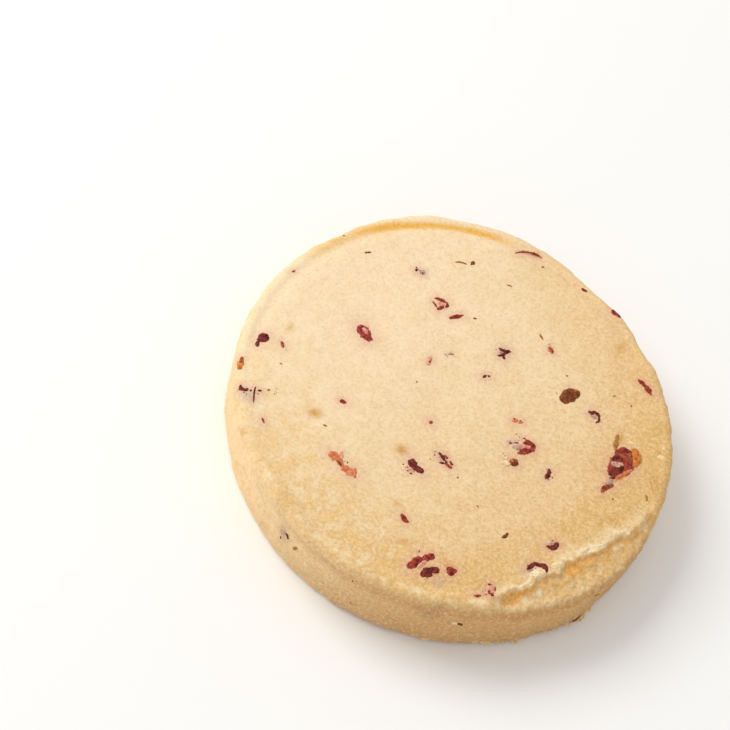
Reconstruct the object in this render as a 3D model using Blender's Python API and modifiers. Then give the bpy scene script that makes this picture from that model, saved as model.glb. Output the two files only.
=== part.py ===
"""Round slice-and-bake shortbread biscuit with dried berry flakes baked into it.

Units are metres and +Z is up. The origin is the middle of the flat underside. The crumbled step
in the top edge faces +X -Y. One closed solid holds the dough, its relief and the fused flakes.
"""
import math
import random

import bmesh
import bpy
from mathutils import Matrix
from mathutils import Vector
from mathutils import noise
from mathutils.bvhtree import BVHTree

MM = 0.001

# Driving dimensions of the biscuit
RADIUS = 30.0 * MM
THICKNESS = 11.0 * MM

# Outline waves: how many round the rim, height, and the direction of one crest in degrees
OUTLINE_WAVES = (
    (2, 0.70 * MM, -40.0),
    (3, 0.14 * MM, -16.0),
    (4, 0.08 * MM, 14.0),
    (5, 0.15 * MM, 38.0),
)

# Profile, worked out from the two driving dimensions
TOP_EDGE_RADIUS = 0.960 * RADIUS
SHOULDER_DROP = 0.115 * THICKNESS
BASE_RADIUS = 0.950 * RADIUS
BASE_EDGE_RISE = 0.110 * THICKNESS
WALL_TAPER = 0.35 * MM
STEPS_ROUND = 240
TOP_RINGS = (0.0, 0.10, 0.25, 0.42, 0.58, 0.70, 0.79, 0.85, 0.885, 0.91, 0.93, 0.95, 0.97, 0.985)
SHOULDER_POINTS = 5
WALL_POINTS = 9
BASE_EDGE_POINTS = 4

# Faint groove that runs round the back and left of the top, just inside its edge
GROOVE_RADIUS = 0.933 * RADIUS
GROOVE_WIDTH = 0.75 * MM
GROOVE_DEPTH = 0.22 * MM
GROOVE_MIDDLE_DEG = 118.0
GROOVE_HALF_SPAN_DEG = 62.0

# Raised crumbly ridge along the front left of the top edge
RIDGE_RADIUS = 0.965 * RADIUS
RIDGE_WIDTH = 0.80 * MM
RIDGE_HEIGHT = 0.22 * MM
RIDGE_MIDDLE_DEG = -92.0
RIDGE_HALF_SPAN_DEG = 34.0

# Crumbled step where a piece of the front right edge has broken away
STEP_MIDDLE_DEG = -37.0
STEP_SPREAD_DEG = 22.0
STEP_START_DEG = (-63.0, -56.0)
STEP_END_DEG = (-24.0, 6.0)
STEP_REACH = 3.2 * MM
STEP_DROP = 1.45 * MM
STEP_HOLLOW = 0.45 * MM
STEP_RAGGED = 0.55 * MM
STEP_FACE_WIDTH = 0.45 * MM

# Unevenness of the baked surface
TOP_SWELL = 0.16 * MM
TOP_SWELL_SIZE = 9.0 * MM
WALL_SWELL = 0.22 * MM
WALL_SWELL_SIZE = 5.0 * MM
CRUMB_BUMP = 0.13 * MM
CRUMB_BUMP_SIZE = 1.6 * MM
NOISE_OFFSET = Vector((3.7, 1.9, 6.3))

BODY_FACE_SHARE = 0.30

# Berry flakes on the top: middle x and y, length and width in mm, and turn in degrees
TOP_FLAKES = (
    (-15.0, 5.1, 3.1, 1.5, -30.0),
    (-26.9, -2.4, 1.9, 1.5, 70.0),
    (-24.4, -1.7, 1.3, 0.6, -70.0),
    (-28.2, -7.0, 2.1, 0.8, 81.0),
    (-26.3, -10.7, 1.3, 1.2, 0.0),
    (-24.8, -10.8, 2.5, 0.6, -87.0),
    (-22.4, -13.8, 1.1, 0.5, -45.0),
    (-13.9, -6.4, 1.0, 0.6, -41.0),
    (-19.1, 17.4, 1.2, 0.5, 27.0),
    (-11.2, 17.8, 1.0, 0.8, 30.0),
    (-7.3, 14.1, 2.4, 1.7, 10.0),
    (-4.5, 13.4, 1.2, 0.7, 27.0),
    (0.7, 27.8, 3.2, 0.6, 14.0),
    (9.9, 25.1, 1.1, 0.6, -18.0),
    (15.1, 23.4, 1.6, 0.7, -13.0),
    (-5.6, 4.9, 1.3, 0.6, 92.0),
    (3.2, 10.8, 1.9, 1.5, 40.0),
    (1.8, 6.0, 0.8, 0.6, 60.0),
    (8.8, 14.0, 1.3, 0.8, -36.0),
    (13.4, 8.7, 3.2, 1.9, 62.0),
    (8.2, 1.4, 1.5, 0.7, 15.0),
    (22.3, 14.4, 2.7, 0.8, -33.0),
    (17.6, 6.9, 2.0, 1.0, -40.0),
    (22.6, 1.8, 5.4, 2.5, 78.0),
    (22.0, -3.1, 1.5, 0.7, 65.0),
    (-12.1, -14.4, 2.0, 1.3, -20.0),
    (-9.7, -15.6, 2.4, 1.0, -28.0),
    (-2.0, -11.4, 2.1, 1.2, -32.0),
    (1.3, -8.6, 2.4, 1.1, -31.0),
    (-0.6, -19.3, 1.6, 0.8, -38.0),
    (10.7, -1.8, 2.3, 1.7, 20.0),
    (9.9, -4.8, 1.2, 1.0, 0.0),
    (14.6, -4.3, 1.5, 0.5, 94.0),
    (12.2, -15.8, 0.8, 0.5, 20.0),
    (18.4, -14.2, 1.5, 1.1, 27.0),
    (3.6, -24.3, 3.6, 1.0, 60.0),
    (5.1, -25.1, 2.3, 1.1, 38.0),
    (7.5, -23.9, 1.4, 1.2, -50.0),
    (11.7, -25.3, 0.8, 0.6, 0.0),
    (13.0, -24.2, 1.9, 1.4, -60.0),
    (17.2, -18.4, 3.0, 1.3, 27.0),
)

# Flakes that show in the wall at the front: direction in degrees, height, length, width in mm
FRONT_WALL_FLAKES = (
    (-119.0, 5.7, 1.5, 1.1),
    (-114.0, 5.5, 0.9, 0.6),
    (-95.5, 3.4, 0.8, 0.6),
    (-68.0, 6.5, 0.9, 0.7),
    (-35.5, 2.4, 1.4, 0.6),
)

# Crumbs that stand out of the lower edge: direction in degrees, height and size in mm
EDGE_CRUMBS = (
    (-59.0, 1.2, 1.9),
    (-55.0, 1.0, 1.6),
    (-51.5, 0.9, 1.8),
    (-33.5, 1.3, 2.1),
    (-31.0, 1.8, 1.5),
    (-75.0, 0.9, 1.4),
)

# Flakes in the wall round the back, spread by a rule
BACK_WALL_FLAKES = 15
BACK_WALL_START_DEG = 4.0
BACK_WALL_SPAN_DEG = 218.0

FLAKE_THICKNESS = 1.0 * MM
FLAKE_STANDS_OUT = 0.22 * MM
FLAKE_SHOULDER = 0.224
FLAKE_CROWN = 0.29
LARGE_FLAKE = 3.0 * MM
LUMP_JITTER = 0.14
CRUMB_STANDS_OUT = 0.42
SEED = 41

DOUGH_COLOUR = (0.83, 0.62, 0.36, 1.0)
BERRY_COLOUR = (0.25, 0.03, 0.05, 1.0)


def smooth(low, high, value):
    """Go from 0 at low to 1 at high without a corner."""
    share = min(max((value - low) / (high - low), 0.0), 1.0)
    return share * share * (3.0 - 2.0 * share)


def turn_between(angle, middle_deg):
    """Return how far an angle in radians is from a direction, in degrees, with its sign."""
    return (math.degrees(angle) - middle_deg + 180.0) % 360.0 - 180.0


def span_share(angle, middle_deg, half_span_deg, fade_deg):
    """Return 1 inside a span of directions, and fade to 0 past its ends."""
    beyond = abs(turn_between(angle, middle_deg)) - half_span_deg
    return 1.0 - smooth(0.0, fade_deg, beyond)


def bell(offset, width):
    """Return a rounded bump that is 1 at no offset and near 0 at twice the width."""
    return math.exp(-(offset / width) ** 2)


def uneven(place, size):
    """Return a smooth uneven value from -1 to 1 that changes over the given size."""
    return noise.noise(place / size + NOISE_OFFSET)


def outline_share(angle):
    """Return the rim's radius in this direction as a share of the driving radius."""
    swell = sum(
        height * math.cos(count * (angle - math.radians(crest_deg)))
        for count, height, crest_deg in OUTLINE_WAVES
    )
    return 1.0 + swell / RADIUS


def step_depth(radius, angle):
    """Return how far the crumbled step lowers the top at this place."""
    direction = math.degrees(angle)
    present = smooth(*STEP_START_DEG, direction) * (1.0 - smooth(*STEP_END_DEG, direction))
    if present <= 0.0:
        return 0.0
    around = Vector((math.cos(angle), math.sin(angle), 0.0)) * RADIUS
    ragged = STEP_RAGGED * uneven(around, 2.6 * MM)
    reach = STEP_REACH * bell(direction - STEP_MIDDLE_DEG, STEP_SPREAD_DEG)
    lip = RIDGE_RADIUS - reach + ragged
    beyond = radius - lip
    face = smooth(0.0, STEP_FACE_WIDTH, beyond)
    hollow = STEP_HOLLOW * bell(beyond - 1.3 * STEP_FACE_WIDTH, 1.4 * STEP_FACE_WIDTH)
    return face * present * (STEP_DROP + hollow)


def top_relief(radius, angle):
    """Return the height of the baked top above its flat level at this place."""
    place = Vector((math.cos(angle), math.sin(angle), 0.0)) * radius
    groove = span_share(angle, GROOVE_MIDDLE_DEG, GROOVE_HALF_SPAN_DEG, 25.0)
    ridge = span_share(angle, RIDGE_MIDDLE_DEG, RIDGE_HALF_SPAN_DEG, 12.0)
    lumps = 0.6 + 0.4 * uneven(place, 1.8 * MM)
    rise = TOP_SWELL * uneven(place, TOP_SWELL_SIZE)
    rise -= groove * GROOVE_DEPTH * bell(radius - GROOVE_RADIUS, GROOVE_WIDTH)
    rise += ridge * lumps * RIDGE_HEIGHT * bell(radius - RIDGE_RADIUS, RIDGE_WIDTH)
    rise -= step_depth(radius, angle)
    return rise


def wall_relief(place):
    """Return how far the wall stands out at this place."""
    rough = WALL_SWELL * uneven(place, WALL_SWELL_SIZE)
    return rough + CRUMB_BUMP * uneven(place, CRUMB_BUMP_SIZE)


def shaped(place):
    """Move one point of the plain turned body to its place on the uneven biscuit."""
    radius = math.hypot(place.x, place.y)
    angle = math.atan2(place.y, place.x)
    outwards = Vector((math.cos(angle), math.sin(angle), 0.0))
    upper = smooth(0.30 * THICKNESS, 0.80 * THICKNESS, place.z)
    rim = smooth(0.90 * RADIUS, 0.99 * RADIUS, radius)
    above_base = smooth(0.0, 0.5 * BASE_EDGE_RISE, place.z)
    rise = upper * top_relief(min(radius, RIDGE_RADIUS), angle)
    reach = radius * outline_share(angle) + rim * above_base * wall_relief(place)
    return outwards * reach + Vector((0.0, 0.0, place.z + rise))


def profile():
    """Return the half outline of the plain body, from the top's middle to the base's middle."""
    points = [(share * TOP_EDGE_RADIUS, THICKNESS) for share in TOP_RINGS]
    for number in range(SHOULDER_POINTS):
        turn = 0.5 * math.pi * number / (SHOULDER_POINTS - 1)
        radius = TOP_EDGE_RADIUS + (RADIUS - TOP_EDGE_RADIUS) * math.sin(turn)
        points.append((radius, THICKNESS - SHOULDER_DROP * (1.0 - math.cos(turn))))
    wall_top = THICKNESS - SHOULDER_DROP
    for number in range(1, WALL_POINTS):
        share = number / WALL_POINTS
        height = wall_top + share * (BASE_EDGE_RISE - wall_top)
        points.append((RADIUS - WALL_TAPER * share, height))
    edge_width = RADIUS - WALL_TAPER - BASE_RADIUS
    for number in range(BASE_EDGE_POINTS):
        turn = 0.5 * math.pi * number / (BASE_EDGE_POINTS - 1)
        radius = BASE_RADIUS + edge_width * math.cos(turn)
        points.append((radius, BASE_EDGE_RISE * (1.0 - math.sin(turn))))
    points.append((0.5 * BASE_RADIUS, 0.0))
    points.append((0.0, 0.0))
    return points


def make_material(name, colour, roughness):
    """Build a plain matt material."""
    material = bpy.data.materials.new(name)
    material.use_nodes = True
    shader = material.node_tree.nodes["Principled BSDF"]
    shader.inputs["Base Color"].default_value = colour
    shader.inputs["Roughness"].default_value = roughness
    shader.inputs["Metallic"].default_value = 0.0
    return material


def make_collection(name):
    """Add an empty collection to the scene."""
    collection = bpy.data.collections.new(name)
    bpy.context.scene.collection.children.link(collection)
    return collection


def evaluated_copy(source, name):
    """Return a new mesh of an object with its modifiers applied."""
    graph = bpy.context.evaluated_depsgraph_get()
    mesh = bpy.data.meshes.new_from_object(source.evaluated_get(graph))
    mesh.name = name
    return mesh


def turned_body(collection):
    """Turn the profile round the vertical axis and return it as one closed mesh."""
    points = profile()
    mesh = bpy.data.meshes.new("profile")
    edges = [(number, number + 1) for number in range(len(points) - 1)]
    mesh.from_pydata([(radius, 0.0, height) for radius, height in points], edges, [])
    guide = bpy.data.objects.new("profile", mesh)
    collection.objects.link(guide)
    turn = guide.modifiers.new("turn", "SCREW")
    turn.axis = "Z"
    turn.steps = STEPS_ROUND
    turn.render_steps = STEPS_ROUND
    turn.use_merge_vertices = True
    turn.merge_threshold = 0.00001
    body = evaluated_copy(guide, "biscuit")
    bpy.data.objects.remove(guide)
    return body


def shape_body(mesh):
    """Give the turned mesh its uneven outline, its step, its groove and its ridge."""
    form = bmesh.new()
    form.from_mesh(mesh)
    bmesh.ops.remove_doubles(form, verts=form.verts, dist=0.00002)
    for vertex in form.verts:
        vertex.co = shaped(vertex.co)
    bmesh.ops.recalc_face_normals(form, faces=form.faces)
    form.to_mesh(mesh)
    form.free()


def surface_tree(mesh):
    """Return a search tree over a mesh's faces."""
    form = bmesh.new()
    form.from_mesh(mesh)
    tree = BVHTree.FromBMesh(form)
    form.free()
    return tree


def seated(tree, start, aim, turn_deg, sunk):
    """Return the placement of a flake that lies on the surface that a ray meets."""
    place, normal, _, _ = tree.ray_cast(start, aim)
    along = Vector((math.cos(math.radians(turn_deg)), math.sin(math.radians(turn_deg)), 0.0))
    if abs(aim.z) < 0.5:
        along = Vector((-aim.y, aim.x, 0.0)) * math.cos(math.radians(turn_deg))
        along += Vector((0.0, 0.0, math.sin(math.radians(turn_deg))))
    across = normal.cross(along).normalized()
    along = across.cross(normal).normalized()
    frame = Matrix((along, across, normal)).transposed().to_4x4()
    return Matrix.Translation(place - normal * sunk) @ frame


def add_lump(collection, name, placement, size, crown, draw):
    """Add one small many-sided lump with uneven corners, no higher than its crown."""
    form = bmesh.new()
    rounds = 2 if size[0] > LARGE_FLAKE else 1
    bmesh.ops.create_icosphere(form, subdivisions=rounds, radius=0.5)
    for vertex in form.verts:
        vertex.co *= 1.0 + draw.uniform(-LUMP_JITTER, LUMP_JITTER)
        vertex.co.z = min(vertex.co.z, crown)
        vertex.co.x *= size[0]
        vertex.co.y *= size[1]
        vertex.co.z *= size[2]
    bmesh.ops.transform(form, matrix=placement, verts=form.verts)
    mesh = bpy.data.meshes.new(name)
    form.to_mesh(mesh)
    form.free()
    lump = bpy.data.objects.new(name, mesh)
    collection.objects.link(lump)
    return lump


def add_top_flakes(collection, tree, material, draw):
    """Lay the flakes of the top on its surface."""
    sunk = FLAKE_SHOULDER * FLAKE_THICKNESS - FLAKE_STANDS_OUT
    for number, (x, y, length, width, turn_deg) in enumerate(TOP_FLAKES):
        start = Vector((x * MM, y * MM, 2.0 * THICKNESS))
        placement = seated(tree, start, Vector((0.0, 0.0, -1.0)), turn_deg, sunk)
        size = (length * MM, width * MM, FLAKE_THICKNESS)
        name = f"top_flake_{number:02d}"
        lump = add_lump(collection, name, placement, size, FLAKE_CROWN, draw)
        lump.data.materials.append(material)


def wall_ray(direction_deg, height):
    """Return the start and the aim of a level ray that meets the wall."""
    angle = math.radians(direction_deg)
    outwards = Vector((math.cos(angle), math.sin(angle), 0.0))
    return outwards * 2.0 * RADIUS + Vector((0.0, 0.0, height)), -outwards


def add_wall_flakes(collection, tree, material, draw):
    """Set flakes in the wall: those of the front, and a spread round the back."""
    places = list(FRONT_WALL_FLAKES)
    for number in range(BACK_WALL_FLAKES):
        share = (number + draw.uniform(0.2, 0.8)) / BACK_WALL_FLAKES
        direction = BACK_WALL_START_DEG + share * BACK_WALL_SPAN_DEG
        height = draw.uniform(2.0, 8.6)
        length = draw.uniform(0.8, 2.4)
        places.append((direction, height, length, length * draw.uniform(0.4, 0.75)))
    sunk = FLAKE_SHOULDER * FLAKE_THICKNESS - FLAKE_STANDS_OUT
    for number, (direction, height, length, width) in enumerate(places):
        start, aim = wall_ray(direction, height * MM)
        placement = seated(tree, start, aim, draw.uniform(-50.0, 50.0), sunk)
        size = (length * MM, width * MM, FLAKE_THICKNESS)
        name = f"wall_flake_{number:02d}"
        lump = add_lump(collection, name, placement, size, FLAKE_CROWN, draw)
        lump.data.materials.append(material)


def add_edge_crumbs(collection, tree, material, draw):
    """Set the crumbs of dough that stand out of the lower edge of the wall."""
    for number, (direction, height, across) in enumerate(EDGE_CRUMBS):
        start, aim = wall_ray(direction, height * MM)
        depth = 0.75 * across * MM
        sunk = depth * (0.5 - CRUMB_STANDS_OUT)
        placement = seated(tree, start, aim, 0.0, sunk)
        flat = min(0.8 * across, 1.7 * height)
        size = (across * MM, flat * MM, depth)
        name = f"edge_crumb_{number:02d}"
        lump = add_lump(collection, name, placement, size, 1.0, draw)
        lump.data.materials.append(material)


def thin_out(body):
    """Apply a Decimate modifier that spends the faces where the shape changes most."""
    thinner = body.modifiers.new("thin_out", "DECIMATE")
    thinner.ratio = BODY_FACE_SHARE
    thinner.use_collapse_triangulate = True
    mesh = evaluated_copy(body, "biscuit")
    body.modifiers.clear()
    body.data = mesh


def flatten_base(body):
    """Put the underside's corners back on the level plane that the biscuit rests on."""
    for vertex in body.data.vertices:
        if vertex.co.z < 0.02 * MM:
            vertex.co.z = 0.0


def fuse(body, lumps):
    """Join all the lumps to the body with one union and remove them."""
    union = body.modifiers.new("fuse", "BOOLEAN")
    union.operation = "UNION"
    union.operand_type = "COLLECTION"
    union.collection = lumps
    union.solver = "EXACT"
    mesh = evaluated_copy(body, "biscuit")
    body.modifiers.clear()
    body.data = mesh
    for lump in list(lumps.objects):
        bpy.data.objects.remove(lump)


def tidy_solid(body):
    """Merge corners that the union left on top of each other and split every face to triangles."""
    form = bmesh.new()
    form.from_mesh(body.data)
    bmesh.ops.remove_doubles(form, verts=form.verts, dist=0.00001)
    bmesh.ops.dissolve_degenerate(form, edges=form.edges, dist=0.00001)
    bmesh.ops.triangulate(form, faces=form.faces)
    form.to_mesh(body.data)
    form.free()


def main():
    """Build the biscuit."""
    for thing in list(bpy.data.objects):
        bpy.data.objects.remove(thing)
    parts = make_collection("shortbread_biscuit")
    cutters = make_collection("cutters")
    lumps = make_collection("toppings")
    dough = make_material("baked_dough", DOUGH_COLOUR, 0.85)
    berry = make_material("dried_berry", BERRY_COLOUR, 0.55)
    draw = random.Random(SEED)

    mesh = turned_body(cutters)
    shape_body(mesh)
    body = bpy.data.objects.new("biscuit", mesh)
    parts.objects.link(body)
    thin_out(body)
    flatten_base(body)
    body.data.materials.clear()
    body.data.materials.append(dough)

    tree = surface_tree(body.data)
    add_top_flakes(lumps, tree, berry, draw)
    add_wall_flakes(lumps, tree, berry, draw)
    add_edge_crumbs(lumps, tree, dough, draw)
    fuse(body, lumps)
    tidy_solid(body)
    body.data.shade_smooth()
    body.data.set_sharp_from_angle(angle=math.radians(35.0))


main()
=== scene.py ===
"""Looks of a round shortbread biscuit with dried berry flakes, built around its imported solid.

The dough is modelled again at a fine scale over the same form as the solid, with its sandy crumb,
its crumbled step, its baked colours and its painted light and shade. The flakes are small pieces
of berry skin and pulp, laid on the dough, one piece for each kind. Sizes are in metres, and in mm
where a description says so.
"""
from __future__ import annotations

import logging
import math
import random
from dataclasses import dataclass, field
from enum import Enum
from typing import Callable, Iterable, Sequence

import bmesh
import bpy
import numpy as np
from mathutils import Matrix, Vector, noise
from mathutils.bvhtree import BVHTree


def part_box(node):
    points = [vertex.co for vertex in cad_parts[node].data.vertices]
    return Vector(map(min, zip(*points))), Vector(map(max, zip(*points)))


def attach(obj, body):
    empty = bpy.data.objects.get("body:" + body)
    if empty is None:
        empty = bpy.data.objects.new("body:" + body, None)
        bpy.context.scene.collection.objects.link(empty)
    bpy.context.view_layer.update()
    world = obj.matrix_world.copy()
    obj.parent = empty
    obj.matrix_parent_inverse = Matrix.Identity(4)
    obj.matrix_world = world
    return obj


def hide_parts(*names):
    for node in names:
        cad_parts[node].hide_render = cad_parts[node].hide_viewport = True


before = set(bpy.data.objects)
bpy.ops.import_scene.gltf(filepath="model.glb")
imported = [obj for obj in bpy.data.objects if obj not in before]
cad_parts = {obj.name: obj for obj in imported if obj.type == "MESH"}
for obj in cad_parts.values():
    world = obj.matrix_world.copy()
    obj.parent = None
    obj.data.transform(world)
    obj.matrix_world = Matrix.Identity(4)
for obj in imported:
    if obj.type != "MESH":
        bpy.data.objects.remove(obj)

MM = 0.001
BODY = "root"
NODE = "biscuit"
BASE_GAP = 0.05 * MM
NOISE_START = Vector((3.7, 1.9, 6.3))
LOG = logging.getLogger("shortbread")

Colour = tuple[float, float, float, float]
Pair = tuple[float, float]
Socket = bpy.types.NodeSocket


def srgb(red: int, green: int, blue: int) -> Colour:
    """Turn a display colour into the linear colour that a shader takes, by the sRGB curve.

    Args:
        red: Display red from 0 to 255.
        green: Display green from 0 to 255.
        blue: Display blue from 0 to 255.

    Returns:
        The linear colour with full alpha.
    """
    shares = [value / 255.0 for value in (red, green, blue)]
    linear = [s / 12.92 if s <= 0.04045 else ((s + 0.055) / 1.055) ** 2.4 for s in shares]
    return (linear[0], linear[1], linear[2], 1.0)


def smooth(low: float, high: float, value: float) -> float:
    """Go from 0 at low to 1 at high without a corner."""
    share = min(max((value - low) / (high - low), 0.0), 1.0)
    return share * share * (3.0 - 2.0 * share)


def bell(offset: float, width: float) -> float:
    """Return a rounded bump that is 1 at no offset and near 0 at twice the width."""
    return math.exp(-((offset / width) ** 2))


def outwards(angle: float) -> Vector:
    """Return the level direction at an angle in radians from the +X direction."""
    return Vector((math.cos(angle), math.sin(angle), 0.0))


@dataclass(frozen=True)
class Rough:
    """Smooth unevenness: how much it adds and the size over which it changes.

    The layer is a height at which the pattern is read, so that two patterns differ.
    """

    amount: float
    size: float
    layer: float = 0.0

    def at(self, place: Vector) -> float:
        """Return what it adds at a place, between the amount and its negative."""
        lifted = place + Vector((0.0, 0.0, self.layer))
        return self.amount * noise.noise(lifted / self.size + NOISE_START)


@dataclass(frozen=True)
class Span:
    """A stretch of directions in degrees: its middle, half its width and the fade past its ends."""

    middle: float
    half: float
    fade: float

    def share(self, angle: float) -> float:
        """Return 1 inside the span and 0 past its fade, for a direction in radians."""
        turned = (math.degrees(angle) - self.middle + 180.0) % 360.0 - 180.0
        return 1.0 - smooth(0.0, self.fade, abs(turned) - self.half)


class Kind(Enum):
    """What a flake is made of, which sets its finish and the piece that it belongs to."""

    RUBY = "ruby_skin"
    CRIMSON = "crimson_skin"
    PLUM = "plum_skin"
    BRICK = "brick_skin"
    RUST = "rust_skin"
    SALMON = "salmon_pulp"
    PINK = "pink_pulp"
    MAUVE = "mauve_pulp"
    COCOA = "dark_husk"
    TAN = "tan_seed"
    PALE = "pale_crumb"
    EDGE = "edge_dough"


@dataclass(frozen=True)
class Spot:
    """A soft stain in the dough's surface: place and sizes in mm, strength, turn in degrees."""

    x: float
    y: float
    length: float
    width: float
    strength: float
    turn: float = 0.0
    fade: float = 0.7

    def shares(self, flat: np.ndarray) -> np.ndarray:
        """Return how strongly the stain colours each place.

        Args:
            flat: Rows of x and y in metres.

        Returns:
            The strengths, from 0 to 1.
        """
        away = flat / MM - np.array([self.x, self.y])
        turn = math.radians(self.turn)
        along = away @ np.array([math.cos(turn), math.sin(turn)]) / (0.5 * self.length)
        across = away @ np.array([-math.sin(turn), math.cos(turn)]) / (0.5 * self.width)
        return self.strength * np.exp(-self.fade * (along**2 + across**2))


@dataclass(frozen=True)
class Flake:
    """One flake: its middle, length, width and lift in mm, its turn and bend in degrees.

    The middle line is an arc through the middle. On the wall, x is the length round the rim from
    the +X direction and y is the height.
    """

    x: float
    y: float
    length: float
    width: float
    turn: float = 0.0
    bend: float = 0.0
    lift: float = 0.0

    def line(self, share: float) -> tuple[float, float, float]:
        """Return place and heading on the middle line.

        Args:
            share: -0.5 at the start, 0 at the middle and 0.5 at the end.

        Returns:
            x and y in metres, and the heading in radians.
        """
        least_bend = 1e-6
        middle = math.radians(self.turn)
        bend = math.radians(self.bend) or least_bend
        heading = middle + bend * share
        size = self.length / bend
        x = self.x + size * (math.sin(heading) - math.sin(middle))
        y = self.y - size * (math.cos(heading) - math.cos(middle))
        return x * MM, y * MM, heading


@dataclass(frozen=True)
class Dust:
    """A cloud of specks: its kind, its middle and reach in mm, and how many specks it has."""

    kind: Kind
    x: float
    y: float
    reach: float
    count: int


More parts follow.
